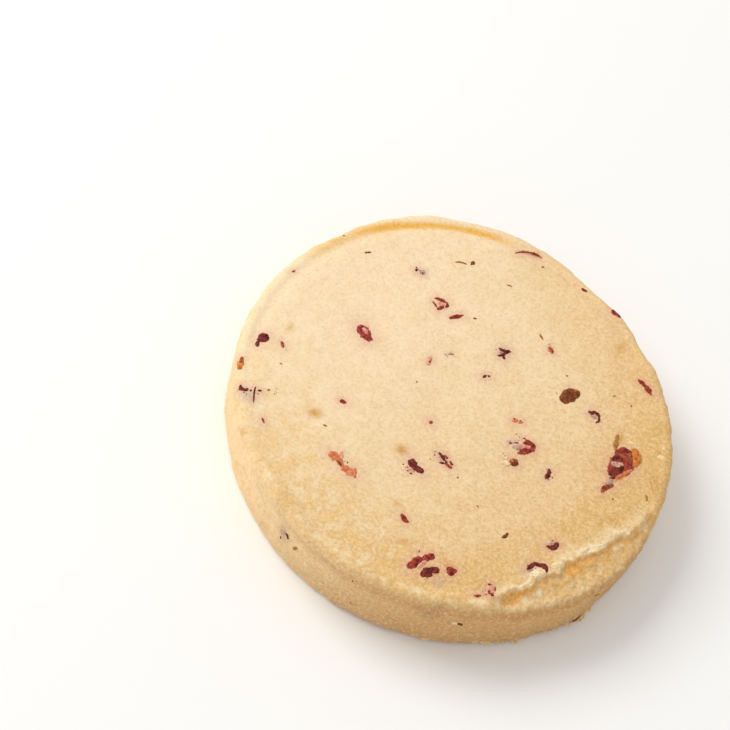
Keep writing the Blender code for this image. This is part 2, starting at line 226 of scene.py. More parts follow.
TOP_FLAKES: dict[Kind, tuple[Flake, ...]] = {
    Kind.RUBY: (
        Flake(-15.0, 5.0, 2.9, 1.4, -35),
        Flake(11.3, -1.8, 0.8, 0.5, -40, -60, 0.05),
        Flake(24.2, 1.7, 1.7, 0.5, -85, -90, 0.07),
    ),
    Kind.CRIMSON: (
        Flake(-15.2, 4.5, 2.7, 0.35, -35, 90, 0.05),
        Flake(-13.9, -6.4, 0.9, 0.6, 0, 80),
        Flake(-7.5, 14.8, 1.9, 0.35, 0, -60),
        Flake(-6.4, 14.4, 1.1, 0.35, -80, -150),
        Flake(-7.1, 13.5, 1.2, 0.45, -125, -20),
        Flake(-4.7, 13.2, 2.2, 0.5, 40),
        Flake(22.4, 14.6, 2.9, 0.6, -33, -35),
        Flake(15.2, 24.2, 1.7, 0.9, -11),
        Flake(1.9, -9.2, 1.4, 0.45, -30, 80, 0.02),
        Flake(2.2, -8.7, 0.8, 0.25, -45),
        Flake(-0.6, -19.2, 1.6, 0.5, -35, 20),
        Flake(4.1, -23.2, 1.9, 0.8, -135),
        Flake(2.8, -24.7, 2.5, 1.05, -118, -14, 0.03),
        Flake(5.0, -24.9, 1.1, 0.3, 5, -35, 0.05),
        Flake(7.4, -23.8, 1.4, 0.75, -55, -90),
        Flake(7.9, -23.5, 0.6, 0.45, -5),
        Flake(10.8, -1.1, 2.0, 0.7, 0, -120, 0.02),
        Flake(10.3, -2.4, 1.4, 0.3, 52, -15, 0.03),
        Flake(10.9, -2.3, 1.4, 0.7, 45, 0, 0.02),
        Flake(12.8, -23.4, 0.7, 0.3, 0, 45, 0.02),
        Flake(13.4, -24.5, 0.6, 0.45, -30, 30, 0.02),
        Flake(13.0, -24.4, 0.6, 0.3, -55, -65, 0.02),
        Flake(22.4, 1.0, 3.9, 1.8, -95, -20),
        Flake(22.6, 3.7, 2.9, 0.7, 22, -105, 0.04),
        Flake(23.7, 1.8, 1.9, 0.75, -74, -80, 0.06),
    ),
    Kind.PLUM: (
        Flake(-27.0, -2.0, 1.7, 1.1, -130),
        Flake(-27.3, -3.1, 1.1, 0.35, -80),
        Flake(-26.4, -10.6, 1.4, 0.45, 10, 150),
        Flake(-26.9, -10.3, 0.6, 0.25, -60),
        Flake(-24.9, -10.7, 2.6, 0.2, -75, 20),
        Flake(-24.4, -9.8, 0.6, 0.25, 20),
        Flake(-25.5, -10.3, 0.3, 0.2, 30),
        Flake(-12.1, 17.8, 0.5, 0.25, 65),
        Flake(-11.2, 17.7, 0.3, 0.3, 25, 0, 0.03),
        Flake(3.1, 11.0, 1.6, 0.65, 10, 95),
        Flake(3.0, 10.3, 1.5, 0.4, -130, -95),
        Flake(3.3, 10.0, 0.6, 0.25, -45),
        Flake(1.9, 6.0, 0.7, 0.4, 60, 30),
        Flake(2.4, 6.3, 0.3, 0.25, 45),
        Flake(17.8, 7.3, 3.0, 0.35, -40, -200),
        Flake(16.8, 7.2, 0.9, 0.4, -15),
        Flake(-2.4, -11.0, 1.3, 1.25, -40),
        Flake(-1.4, -11.5, 1.6, 0.9, -10),
        Flake(-2.6, -12.3, 0.3, 0.2, -25),
        Flake(-2.1, -12.5, 0.4, 0.2, 15),
        Flake(0.8, -8.3, 1.5, 0.5, -35),
        Flake(1.1, -9.2, 0.8, 0.25, 10, -35),
        Flake(-0.4, -19.4, 0.4, 0.25, -35, 0, 0.02),
        Flake(2.8, -22.9, 0.2, 0.25),
        Flake(3.1, -24.7, 1.3, 0.35, -85, -50, 0.05),
        Flake(4.9, -25.0, 2.8, 1.1, 44, -80),
        Flake(5.2, -25.6, 0.9, 0.4, 35, 70),
        Flake(7.4, -23.8, 0.9, 0.4, -55, -20, 0.04),
        Flake(8.4, -2.2, 0.5, 0.2, 25, -40),
        Flake(9.1, -1.8, 0.6, 0.15, 15, -45),
        Flake(14.5, -4.4, 1.8, 0.45, -90, -40),
        Flake(18.6, -14.5, 2.1, 0.6, 45, 160),
        Flake(16.8, -18.3, 2.0, 0.55, 60, -55, 0.03),
        Flake(17.2, -17.9, 1.0, 0.6, 20, 0, 0.03),
        Flake(18.4, -17.7, 2.0, 0.55, -25, -170, 0.03),
        Flake(22.5, 2.2, 2.5, 0.75, 0, -160, 0.06),
        Flake(22.7, 0.2, 2.6, 1.2, 50, 45, 0.06),
        Flake(22.5, -1.1, 0.9, 0.35, 35, 60, 0.05),
        Flake(21.9, -3.1, 0.8, 0.4, -95, 0, 0.03),
    ),
    Kind.BRICK: (
        Flake(-24.3, -1.8, 1.1, 0.35, -55),
        Flake(-28.3, -6.6, 1.2, 0.4, -85, 0, 0.04),
        Flake(-22.4, -13.8, 0.9, 0.3, -50),
        Flake(-27.1, 9.8, 0.6, 0.25, 50),
        Flake(-8.0, 13.7, 1.2, 0.2, -35),
        Flake(-5.6, 5.0, 1.1, 0.25, -85, 0, 0.04),
        Flake(-2.3, -4.0, 0.5, 0.45, -5),
        Flake(0.9, 27.9, 4.2, 0.3, 18, -75),
        Flake(8.8, 14.2, 1.3, 0.3, -40, -105),
        Flake(22.1, 14.8, 1.2, 0.25, -35, 0, 0.04),
        Flake(7.7, 1.5, 0.3, 0.2, 25, 0, 0.05),
        Flake(8.5, 1.6, 0.3, 0.2, 10, 0, 0.05),
        Flake(-11.1, -15.4, 1.2, 0.4, -30, -30, 0.05),
        Flake(1.3, -8.1, 0.8, 0.3, -35, -20),
        Flake(10.2, -3.0, 1.2, 0.3, 20, -55, 0.02),
        Flake(11.4, -1.2, 1.2, 0.2, -55, -40),
        Flake(9.9, -0.7, 0.5, 0.2, 0, -95),
        Flake(9.7, -4.7, 1.2, 1.0, 5),
        Flake(14.7, -5.1, 0.4, 0.15, -30),
        Flake(13.5, -23.6, 0.7, 0.25, -65, -50, 0.02),
        Flake(11.8, -25.6, 1.0, 0.35, 30, 80),
        Flake(23.5, 2.1, 4.2, 1.7, -60, -130),
        Flake(23.9, 3.1, 1.9, 0.3, -70, -55, 0.07),
        Flake(22.2, -2.8, 2.3, 0.6, -125, 60),
    ),
    Kind.RUST: (
        Flake(-28.2, -7.1, 1.8, 0.65, -80, 30),
        Flake(13.9, 9.5, 0.7, 0.3, 30, -35, 0.1),
        Flake(-10.9, -15.2, 1.0, 0.3, -65, 50, 0.06),
        Flake(9.5, -4.7, 0.6, 0.35, -10, 0, 0.05),
        Flake(24.6, 3.3, 3.1, 1.0, -70, -105, 0.09),
    ),
    Kind.SALMON: (
        Flake(8.6, 13.9, 0.7, 0.35, -25, 0, -0.01),
        Flake(7.8, 1.3, 0.9, 0.5, 30, -70),
        Flake(8.6, 1.4, 0.7, 0.45, 25),
        Flake(-12.0, -14.7, 1.9, 1.05, -10, -30),
        Flake(-10.8, -15.4, 1.3, 0.5, -45, 30),
        Flake(-9.7, -15.9, 1.9, 1.15, -15),
        Flake(-8.7, -16.2, 0.9, 0.35, -45),
        Flake(-8.8, -15.6, 1.1, 0.3, -70, -25),
        Flake(23.7, 0.2, 3.4, 0.55, 60, 0, 0.02),
    ),
    Kind.PINK: (
        Flake(-15.1, 5.3, 1.2, 0.55, -35, -25, 0.07),
        Flake(-7.3, 14.2, 1.1, 0.55, 0, 0, -0.02),
        Flake(-5.7, 4.9, 1.6, 0.6, -90),
        Flake(1.3, 27.7, 2.4, 0.3, 10, -25, -0.03),
        Flake(-11.2, -14.2, 1.4, 0.5, -70, -65, -0.03),
        Flake(-2.2, -12.0, 1.0, 0.5, -5, 0, -0.01),
        Flake(3.7, -24.5, 1.9, 0.5, -115, 0, -0.02),
        Flake(10.4, -1.9, 1.8, 0.85, 20, -25, -0.01),
        Flake(13.1, -23.9, 1.5, 1.0, -60, -40, -0.02),
        Flake(22.9, 1.4, 0.8, 0.6, 10, 0, 0.12),
    ),
    Kind.MAUVE: (
        Flake(-11.3, 17.8, 0.8, 0.65, 5),
        Flake(2.8, 10.6, 0.7, 0.5, 10, 0, -0.02),
        Flake(17.3, 6.8, 1.0, 0.5, -5, 0, -0.04),
        Flake(9.3, -2.5, 1.2, 0.55, -5, 0, -0.02),
        Flake(18.2, -14.0, 0.8, 0.45, 30, 0, -0.01),
        Flake(16.8, -19.0, 1.1, 0.45, 50, 0, -0.03),
        Flake(22.3, 1.1, 1.3, 1.0, 20, -30, 0.07),
        Flake(22.3, -1.8, 1.4, 0.75, -115, 0, -0.01),
    ),
    Kind.COCOA: (
        Flake(-23.0, 18.5, 0.3, 0.2, -20),
        Flake(-19.1, 17.3, 0.9, 0.25, 35),
        Flake(-5.5, 22.4, 0.8, 0.4, 65),
        Flake(-2.3, 14.1, 0.5, 0.3, 10),
        Flake(12.0, 11.2, 0.3, 0.2, -20),
        Flake(13.3, 8.4, 3.1, 1.65, 54, -60, 0.04),
        Flake(21.5, 10.7, 0.2, 0.2, 10),
        Flake(9.9, 25.6, 0.9, 0.35, -10),
        Flake(10.0, -5.0, 1.3, 0.35, 50, 130, 0.04),
        Flake(12.3, -15.7, 1.2, 0.4, 65, 60),
        Flake(23.5, -4.1, 0.2, 0.2),
    ),
    Kind.TAN: (
        Flake(-23.4, -9.2, 0.4, 0.25, 45, 80),
        Flake(-23.4, -4.7, 0.5, 0.15, -15),
        Flake(-14.8, -10.9, 0.6, 0.2, -5),
        Flake(-6.1, 1.0, 0.2, 0.25, 10),
        Flake(-3.3, 7.3, 0.7, 0.15, 20),
        Flake(3.5, 26.5, 0.3, 0.4, -55, 0, 0.02),
        Flake(-7.0, 21.8, 1.8, 0.3, 15, -35),
        Flake(0.3, 21.4, 0.8, 0.2, 5, -25),
        Flake(6.9, 15.5, 1.0, 0.25, -45),
        Flake(18.9, 11.2, 0.4, 0.2, 55),
        Flake(0.2, -7.9, 0.2, 0.15, -25),
        Flake(3.7, -10.3, 0.3, 0.2, -15),
        Flake(7.5, -13.2, 0.4, 0.2, -25),
        Flake(27.6, -1.8, 1.0, 0.25, -65, -35),
        # Darkens a short crease near the right rim, together with the fat spot at the same place.
        Flake(21.3, 4.4, 2.7, 0.5, -80, 15, -0.02),
    ),
    Kind.PALE: (
        Flake(8.7, -5.4, 1.3, 0.65, 10, -100, 0.02),
        Flake(8.6, -4.5, 0.4, 0.35, 5),
        Flake(17.9, -18.5, 0.7, 0.4, -15, -35, -0.02),
        Flake(18.5, -19.0, 0.4, 0.25, 0, 0, 0.02),
        Flake(27.5, 6.6, 0.6, 0.6, -5, 0, -0.04),
        Flake(27.6, 5.1, 1.2, 0.7, 10, -85, -0.04),
        Flake(23.2, 5.3, 0.8, 0.55, 0, 0, -0.05),
        Flake(19.9, -16.7, 1.9, 0.9, 40, 20, -0.02),
        Flake(18.3, -18.9, 1.7, 0.55, 52, -20, -0.01),
        Flake(17.0, -21.1, 2.2, 0.55, 60, 15, -0.01),
        Flake(22.5, -13.0, 1.3, 0.55, 50, -30, -0.01),
        Flake(24.2, -11.4, 1.4, 0.5, 45, 25, -0.01),
        Flake(25.8, -8.6, 2.0, 0.5, 50, -15, -0.01),
    ),
}

WALL_FLAKES: dict[Kind, tuple[Flake, ...]] = {
    Kind.PLUM: (
        Flake(-62.4, 4.7, 0.3, 0.4, 5),
        Flake(-61.3, 6.8, 1.1, 0.4, -55, -95),
        Flake(-17.9, 1.6, 1.8, 0.5, -5, -25),
    ),
    Kind.MAUVE: (Flake(-62.3, 6.7, 1.3, 0.6, 50, -30),),
    Kind.TAN: (
        Flake(-59.6, 6.1, 1.1, 0.4, 55),
        Flake(-16.1, 6.3, 1.8, 0.25, -35),
    ),
    Kind.PALE: (
        Flake(-57.3, 4.9, 1.0, 0.5, -50),
        Flake(-54.4, 3.2, 0.6, 0.35, 5),
        Flake(-53.8, 6.3, 1.4, 0.3, -65),
        Flake(-53.1, 6.8, 1.1, 0.3, -65),
        Flake(-36.2, 6.5, 0.8, 0.55, -15, -70),
    ),
    Kind.RUST: (Flake(-49.8, 3.3, 0.3, 0.3, -10),),
    Kind.COCOA: (
        Flake(-50.6, 8.8, 0.2, 0.2, 30),
        Flake(-35.5, 6.4, 0.8, 0.45, -20),
        Flake(-28.8, 0.8, 0.9, 0.25, 60),
    ),
}

DUST = (
    Dust(Kind.PLUM, -26.0, -11.3, 1.6, 8),
    Dust(Kind.PLUM, -24.5, -11.0, 1.2, 5),
    Dust(Kind.PLUM, 0.2, -8.3, 1.0, 8),
    Dust(Kind.CRIMSON, 1.4, -8.9, 1.0, 12),
    Dust(Kind.PLUM, 8.4, -2.2, 1.1, 9),
    Dust(Kind.PLUM, 8.8, -0.8, 1.0, 6),
    Dust(Kind.BRICK, 8.3, -4.6, 0.8, 5),
    Dust(Kind.PLUM, -11.6, 17.7, 0.8, 10),
    Dust(Kind.PLUM, -3.6, 7.1, 0.9, 7),
    Dust(Kind.PLUM, 2.6, 11.0, 0.8, 8),
    Dust(Kind.PLUM, 2.1, 6.1, 0.7, 6),
    Dust(Kind.CRIMSON, -2.8, -12.0, 0.8, 9),
    Dust(Kind.PLUM, 4.8, -25.5, 1.3, 14),
    Dust(Kind.CRIMSON, 12.8, -24.2, 0.9, 10),
    Dust(Kind.PLUM, 17.0, -18.6, 1.2, 14),
    Dust(Kind.PLUM, 18.0, -14.2, 0.7, 7),
    Dust(Kind.BRICK, 14.7, -4.4, 0.8, 7),
    Dust(Kind.BRICK, 22.3, -2.8, 1.0, 9),
    Dust(Kind.BRICK, -11.0, -15.0, 1.3, 8),
    Dust(Kind.TAN, -22.7, -9.0, 0.6, 6),
    Dust(Kind.BRICK, 8.4, 14.6, 0.8, 5),
    Dust(Kind.COCOA, 12.6, 8.0, 1.6, 8),
)

FAT_SPOTS = (
    Spot(-16.7, -9.7, 1.6, 1.2, 1.0, 10.0),
    Spot(-4.4, -9.7, 1.5, 1.2, 1.0, 10.0),
    Spot(-2.3, -17.5, 1.2, 0.9, 0.5),
    Spot(0.5, -22.4, 2.2, 1.0, 0.6, 27.0),
    Spot(-24.3, 1.1, 0.8, 1.2, 0.6),
    Spot(18.8, -10.9, 0.7, 0.9, 0.6),
    Spot(-24.2, -16.3, 0.9, 1.0, 0.7),
    Spot(-27.0, -12.9, 0.9, 2.6, 0.7, 25.0),
    # Darkens the same crease as the tan strip at 21.3, 4.4.
    Spot(21.5, 4.9, 0.8, 1.9, 1.0, -10.0),
    Spot(27.2, 5.6, 1.5, 0.7, 0.6),
    Spot(26.4, 9.6, 1.8, 1.4, 0.4, 60.0),
    Spot(7.0, -23.2, 1.3, 0.7, 0.7),
    Spot(27.9, 0.6, 1.1, 3.4, 0.8, 25.0),
    Spot(17.3, 18.8, 0.9, 1.8, 0.7, -15.0),
    Spot(24.2, -7.4, 3.0, 1.4, 0.4, 40.0),
    Spot(27.1, -4.2, 1.2, 2.0, 0.5, 20.0),
    Spot(12.0, -23.3, 2.6, 1.0, 0.4, 25.0),
    Spot(-14.2, -24.4, 9.0, 2.4, 0.3, -30.0),
)

PINK_SPOTS = (
    Spot(-15.0, 5.0, 2.6, 1.7, 0.35, -30.0),
    Spot(-7.3, 14.1, 2.0, 1.6, 0.40),
    Spot(0.9, 27.4, 2.6, 1.0, 0.45, 14.0),
    Spot(10.4, -2.2, 2.8, 1.8, 0.40, 20.0),
    Spot(22.2, -2.6, 1.9, 1.4, 0.50, 65.0),
    Spot(14.6, -4.6, 1.0, 1.5, 0.30),
    Spot(4.8, -24.7, 2.6, 1.7, 0.45, 50.0),
    Spot(12.7, -24.6, 1.9, 1.5, 0.50, 20.0),
    Spot(17.6, 6.5, 1.5, 1.1, 0.35),
    Spot(-10.6, -15.1, 2.8, 1.6, 0.30, -28.0),
    Spot(-22.4, -13.8, 1.0, 0.9, 0.30),
    Spot(-24.6, -1.5, 0.9, 1.0, 0.35),
    Spot(-2.0, -11.6, 2.0, 1.3, 0.35, -32.0),
    Spot(8.2, 1.4, 1.4, 1.0, 0.30, 15.0),
    Spot(22.3, 14.2, 2.0, 1.0, 0.35, -33.0),
)

GREY_SPOTS = (
    Spot(-25.6, -11.1, 2.0, 1.8, 0.45),
    Spot(-11.2, 17.8, 1.4, 1.2, 0.35),
    Spot(-3.5, 7.2, 1.5, 1.0, 0.25, 27.0),
    Spot(3.0, 10.7, 1.6, 1.4, 0.30),
    Spot(17.0, -19.0, 2.2, 1.2, 0.40, 27.0),
    Spot(18.4, -14.2, 1.3, 1.0, 0.30),
    Spot(8.6, -2.0, 1.6, 1.0, 0.25, 20.0),
    Spot(6.6, -26.0, 1.6, 1.1, 0.45, 27.0),
    Spot(1.2, -8.6, 1.8, 1.2, 0.25, -31.0),
    Spot(13.0, 9.4, 1.8, 1.6, 0.20, 60.0),
)

# Grey-brown marks of the wall, from juice halos to painted shade round a crack and darker patches along
# the foot: x is the length round the rim from the +X direction, y the height.
WALL_MARKS = (
    Spot(-62.2, 6.2, 2.0, 3.0, 0.55),
    Spot(-39.8, 7.8, 2.4, 2.2, 0.45),
    Spot(-39.0, 10.2, 1.8, 1.2, 0.45),
    Spot(-36.0, 6.4, 1.6, 1.2, 0.30),
    # Painted shade round the crack near the foot.
    Spot(-18.0, 1.4, 2.6, 1.2, 0.60),
    # Darker patches along the foot.
    Spot(-21.5, 0.9, 5.0, 1.6, 0.40),
    Spot(-31.5, 0.7, 8.0, 1.4, 0.30),
)


@dataclass(frozen=True)
class Dent:
    """A shallow dent of the wall in mm and degrees, or a bulge where the depth is negative."""

    direction: float
    half_angle: float
    height: float
    spread: float
    depth: float

    def share(self, direction: float, height: float) -> float:
        """Return how much of the dent is present at a direction in degrees and a height in metres."""
        level = bell(height / MM - self.height, self.spread)
        return level * bell(direction - self.direction, self.half_angle)


DENTS = (
    Dent(-23.0, 6.5, 1.5, 4.0, 0.50),
    Dent(-35.0, 2.8, 1.2, 1.6, -0.35),
    Dent(68.0, 5.5, 10.5, 3.0, 0.40),
    Dent(45.0, 4.0, 10.5, 2.5, 0.25),
    Dent(57.0, 2.5, 10.5, 1.5, -0.15),
)


@dataclass(frozen=True)
class DoughForm:
    """The large shape of the biscuit, the same as the solid's.

    Directions are in degrees. A share is one of the radius or, for a height, of the thickness. Each
    wave of the outline has its count round the rim, its height and the direction of a crest.
    """

    radius: float
    thickness: float
    waves: tuple[tuple[int, float, float], ...] = (
        (2, 0.70 * MM, -40.0),
        (3, 0.14 * MM, -16.0),
        (4, 0.08 * MM, 14.0),
        (5, 0.15 * MM, 38.0),
    )
    top_share: float = 0.960
    base_share: float = 0.950
    shoulder_share: float = 0.115
    base_rise_share: float = 0.110
    relief_heights: Pair = (0.30, 0.80)
    wall_band: Pair = (0.90, 0.99)
    wall_taper: float = 0.35 * MM
    wall_rough: Rough = Rough(0.22 * MM, 5.0 * MM)
    wall_fine: Rough = Rough(0.13 * MM, 1.6 * MM)
    top_swell: Rough = Rough(0.16 * MM, 9.0 * MM)
    groove_span: Span = Span(118.0, 62.0, 25.0)
    groove_share: float = 0.933
    groove_width: float = 0.75 * MM
    groove_depth: float = 0.22 * MM
    ridge_span: Span = Span(-92.0, 34.0, 12.0)
    ridge_share: float = 0.965
    ridge_width: float = 0.80 * MM
    ridge_height: float = 0.22 * MM
    ridge_even: float = 0.6
    ridge_lumps: Rough = Rough(0.4, 1.8 * MM)
    step_middle: float = -37.0
    step_spread: float = 22.0
    step_start: Pair = (-63.0, -56.0)
    step_end: Pair = (-24.0, 6.0)
    step_reach: float = 3.2 * MM
    step_least_reach: float = 0.8 * MM
    step_drop: float = 1.45 * MM
    step_ragged: Rough = Rough(0.60 * MM, 2.6 * MM)
    step_fine_ragged: Rough = Rough(0.36 * MM, 1.1 * MM)
    step_face: float = 0.30 * MM
    step_face_share: float = 0.34
    lip_height: float = 0.07 * MM
    lip_width: float = 0.60 * MM
    lip_even: float = 0.6
    lip_lumps: Rough = Rough(1.4, 1.0 * MM)
    hollow_depth: float = 0.12 * MM
    hollow_width: float = 0.55 * MM
    ledge_offset: float = 0.55
    ledge_height: float = 0.22 * MM
    ledge_width: float = 0.45 * MM
    ledge_breaks: Rough = Rough(1.0, 3.0 * MM, 9.1 * MM)
    ledge_fade: float = 0.25
    ledge_wander: Rough = Rough(0.7 * MM, 1.7 * MM, 5.3 * MM)

    @classmethod
    def from_box(cls, low: Vector, high: Vector) -> DoughForm:
        """Work out the driving sizes from the solid's box.

        Args:
            low: Lowest corner of the box.
            high: Highest corner of the box.

        Returns:
            The form whose solid has that box.
        """
        waves_add = 0.0030
        crumb_adds = 0.0036
        relief_adds = 0.0336
        mean_half = 0.25 * ((high.x - low.x) + (high.y - low.y))
        radius = mean_half / (1.0 + waves_add + crumb_adds)
        return cls(radius=radius, thickness=high.z / (1.0 + relief_adds))

    @property
    def top_edge(self) -> float:
        """Radius at which the flat top ends."""
        return self.top_share * self.radius

    @property
    def base_edge(self) -> float:
        """Radius at which the flat underside ends."""
        return self.base_share * self.radius

    @property
    def shoulder_drop(self) -> float:
        """Height of the rounded top edge."""
        return self.shoulder_share * self.thickness

    @property
    def base_rise(self) -> float:
        """Height of the rounded lower edge."""
        return self.base_rise_share * self.thickness

    @property
    def groove_radius(self) -> float:
        """Radius of the groove round the back of the top."""
        return self.groove_share * self.radius

    @property
    def ridge_radius(self) -> float:
        """Radius of the ridge along the front of the top."""
        return self.ridge_share * self.radius

    def outline_share(self, angle: float) -> float:
        """Return the rim's radius in a direction as a share of the driving radius.

        Args:
            angle: Direction in radians.

        Returns:
            The share.
        """
        swell = sum(
            height * math.cos(count * (angle - math.radians(crest)))
            for count, height, crest in self.waves
        )
        return 1.0 + swell / self.radius

    def step_share(self, angle: float) -> float:
        """Return how much of the step is present in this direction."""
        direction = math.degrees(angle)
        return smooth(*self.step_start, direction) * (1.0 - smooth(*self.step_end, direction))

    def step_place(self, angle: float) -> tuple[float, float, float]:
        """Find the ragged step in a direction.

        Args:
            angle: Direction in radians.

        Returns:
            The radius of its lip, its reach, and how much of its ledge is present.
        """
        around = outwards(angle) * self.radius
        reach = self.step_reach * bell(math.degrees(angle) - self.step_middle, self.step_spread)
        ragged = self.step_ragged.at(around) + self.step_fine_ragged.at(around)
        ledge = smooth(-self.ledge_fade, self.ledge_fade, self.ledge_breaks.at(around))
        return self.ridge_radius - reach + ragged, reach, ledge

    def ledge_radius(self, angle: float) -> float:
        """Return the radius of the second, lower lip in this direction."""
        lip, reach, _ = self.step_place(angle)
        return lip + self.ledge_offset * reach + self.ledge_wander.at(outwards(angle) * self.radius)

    def step_depth(self, radius: float, angle: float, fray: float) -> float:
        """Return how far the crumbled step lowers the top at this place.

        Args:
            radius: Distance from the middle.
            angle: Direction in radians.
            fray: Extra raggedness of the lips, as a length.

        Returns:
            The depth below the top.
        """
        present = self.step_share(angle)
        if present <= 0.0:
            return 0.0
        lip, reach, ledge = self.step_place(angle)
        beyond = radius - lip - fray
        lower = radius - self.ledge_radius(angle) - fray
        lumps = self.lip_even + self.lip_lumps.at(outwards(angle) * radius)
        face = self.step_face_share * smooth(0.0, self.step_face, beyond)
        slope = smooth(0.0, max(reach, self.step_least_reach), beyond)
        depth = self.step_drop * (face + (1.0 - self.step_face_share) * slope)
        depth += self.hollow_depth * bell(beyond - self.hollow_width, self.hollow_width)
        depth -= self.lip_height * lumps * bell(beyond + 0.5 * self.lip_width, self.lip_width)
        depth -= self.ledge_height * lumps * ledge * bell(lower, self.ledge_width)
        return depth * present

    def top_relief(self, radius: float, angle: float, fray: float) -> float:
        """Return the height of the baked top above its flat level.

        Args:
            radius: Distance from the middle.
            angle: Direction in radians.
            fray: Extra raggedness of the step's lips, as a length.

        Returns:
            The height, which is negative in the groove and the step.
        """
        place = outwards(angle) * radius
        groove = self.groove_depth * self.groove_span.share(angle)
        ridge = self.ridge_height * self.ridge_span.share(angle)
        ridge *= self.ridge_even + self.ridge_lumps.at(place)
        rise = self.top_swell.at(place)
        rise -= groove * bell(radius - self.groove_radius, self.groove_width)
        rise += ridge * bell(radius - self.ridge_radius, self.ridge_width)
        return rise - self.step_depth(radius, angle, fray)

    def shaped(self, place: Vector, fray: float) -> Vector:
        """Move one point of the plain round body to its place on the uneven biscuit.

        Args:
            place: The point on the plain body.
            fray: Extra raggedness of the step's lips there.

        Returns:
            The point's place.
        """
        radius = math.hypot(place.x, place.y)
        angle = math.atan2(place.y, place.x)
        upper = smooth(*self.relief_heights, place.z / self.thickness)
        rise = upper * self.top_relief(min(radius, self.ridge_radius), angle, fray) if upper else 0.0
        rim = smooth(*self.wall_band, radius / self.radius) * smooth(0.0, 0.5 * self.base_rise, place.z)
        wall = rim * (self.wall_rough.at(place) + self.wall_fine.at(place))
        level = Vector((0.0, 0.0, place.z + rise))
        return outwards(angle) * (radius * self.outline_share(angle) + wall) + level

    def wall_profile(self, share: float) -> Pair:
        """Return radius and height on the plain wall, from the top edge down to the base edge.

        Args:
            share: 0 at the top edge and 1 at the base edge, by length along the wall.

        Returns:
            Radius and height.
        """
        quarter = 0.5 * math.pi
        shoulder_width = self.radius - self.top_edge
        edge_width = self.radius - self.wall_taper - self.base_edge
        shoulder = quarter * 0.5 * (shoulder_width + self.shoulder_drop)
        straight = self.thickness - self.shoulder_drop - self.base_rise
        edge = quarter * 0.5 * (edge_width + self.base_rise)
        along = share * (shoulder + straight + edge)
        if along <= shoulder:
            turn = quarter * along / shoulder
            fall = self.shoulder_drop * (1.0 - math.cos(turn))
            return self.top_edge + shoulder_width * math.sin(turn), self.thickness - fall
        if along <= shoulder + straight:
            down = (along - shoulder) / straight
            height = self.thickness - self.shoulder_drop - down * straight
            return self.radius - self.wall_taper * down, height
        turn = quarter * (along - shoulder - straight) / edge
        height = self.base_rise * (1.0 - math.sin(turn))
        return self.base_edge + edge_width * math.cos(turn), height


@dataclass(frozen=True)
class CrumbRelief:
    """How far the crumb that shows stands out of the shaped dough.

    Each unevenness is read everywhere, on the wall, on the broken step or where the wall is
    scalloped. The broken band lies between two distances from the step's lip and two heights.
    """

    form: DoughForm
    everywhere: tuple[Rough, ...] = (Rough(0.018 * MM, 0.75 * MM), Rough(0.030 * MM, 2.2 * MM))
    on_wall: tuple[Rough, ...] = (Rough(0.030 * MM, 0.75 * MM), Rough(0.045 * MM, 2.2 * MM))
    on_step: Rough = Rough(0.120 * MM, 0.75 * MM)
    on_step_fine: Rough = Rough(0.100 * MM, 0.42 * MM)
    least_broken: float = 0.05
    broken_band: Pair = (-0.5 * MM, 0.3 * MM)
    broken_heights: Pair = (0.60, 0.85)
    smear: Rough = Rough(0.050 * MM, 0.9 * MM)
    smear_length: float = 5.0
    scalloped: Span = Span(27.0, 19.0, 8.0)
    scallops: Rough = Rough(0.150 * MM, 1.3 * MM)

    def at(self, plain: Vector, place: Vector) -> float:
        """Return the relief along the surface's normal.

        Args:
            plain: The point on the plain body.
            place: The same point on the shaped dough.

        Returns:
            How far it stands out.
        """
        form = self.form
        radius = math.hypot(plain.x, plain.y)
        angle = math.atan2(plain.y, plain.x)
        wall = smooth(form.top_edge, form.radius, radius)
        broken = form.step_share(angle)
        if broken:
            broken *= smooth(*self.broken_band, radius - form.step_place(angle)[0])
            broken *= smooth(*self.broken_heights, plain.z / form.thickness)
        drawn_out = Vector((angle * form.radius / self.smear_length, plain.z, 0.0))
        relief = sum(rough.at(place) for rough in self.everywhere)
        relief += wall * (sum(rough.at(place) for rough in self.on_wall) + self.smear.at(drawn_out))
        relief += broken * self.on_step.at(place)
        if broken > self.least_broken:
            relief += broken * self.on_step_fine.at(place)
        relief += wall * self.scalloped.share(angle) * self.scallops.at(outwards(angle) * form.radius)
        dents = sum(dent.depth * dent.share(math.degrees(angle), plain.z) for dent in DENTS)
        return relief - wall * dents * MM


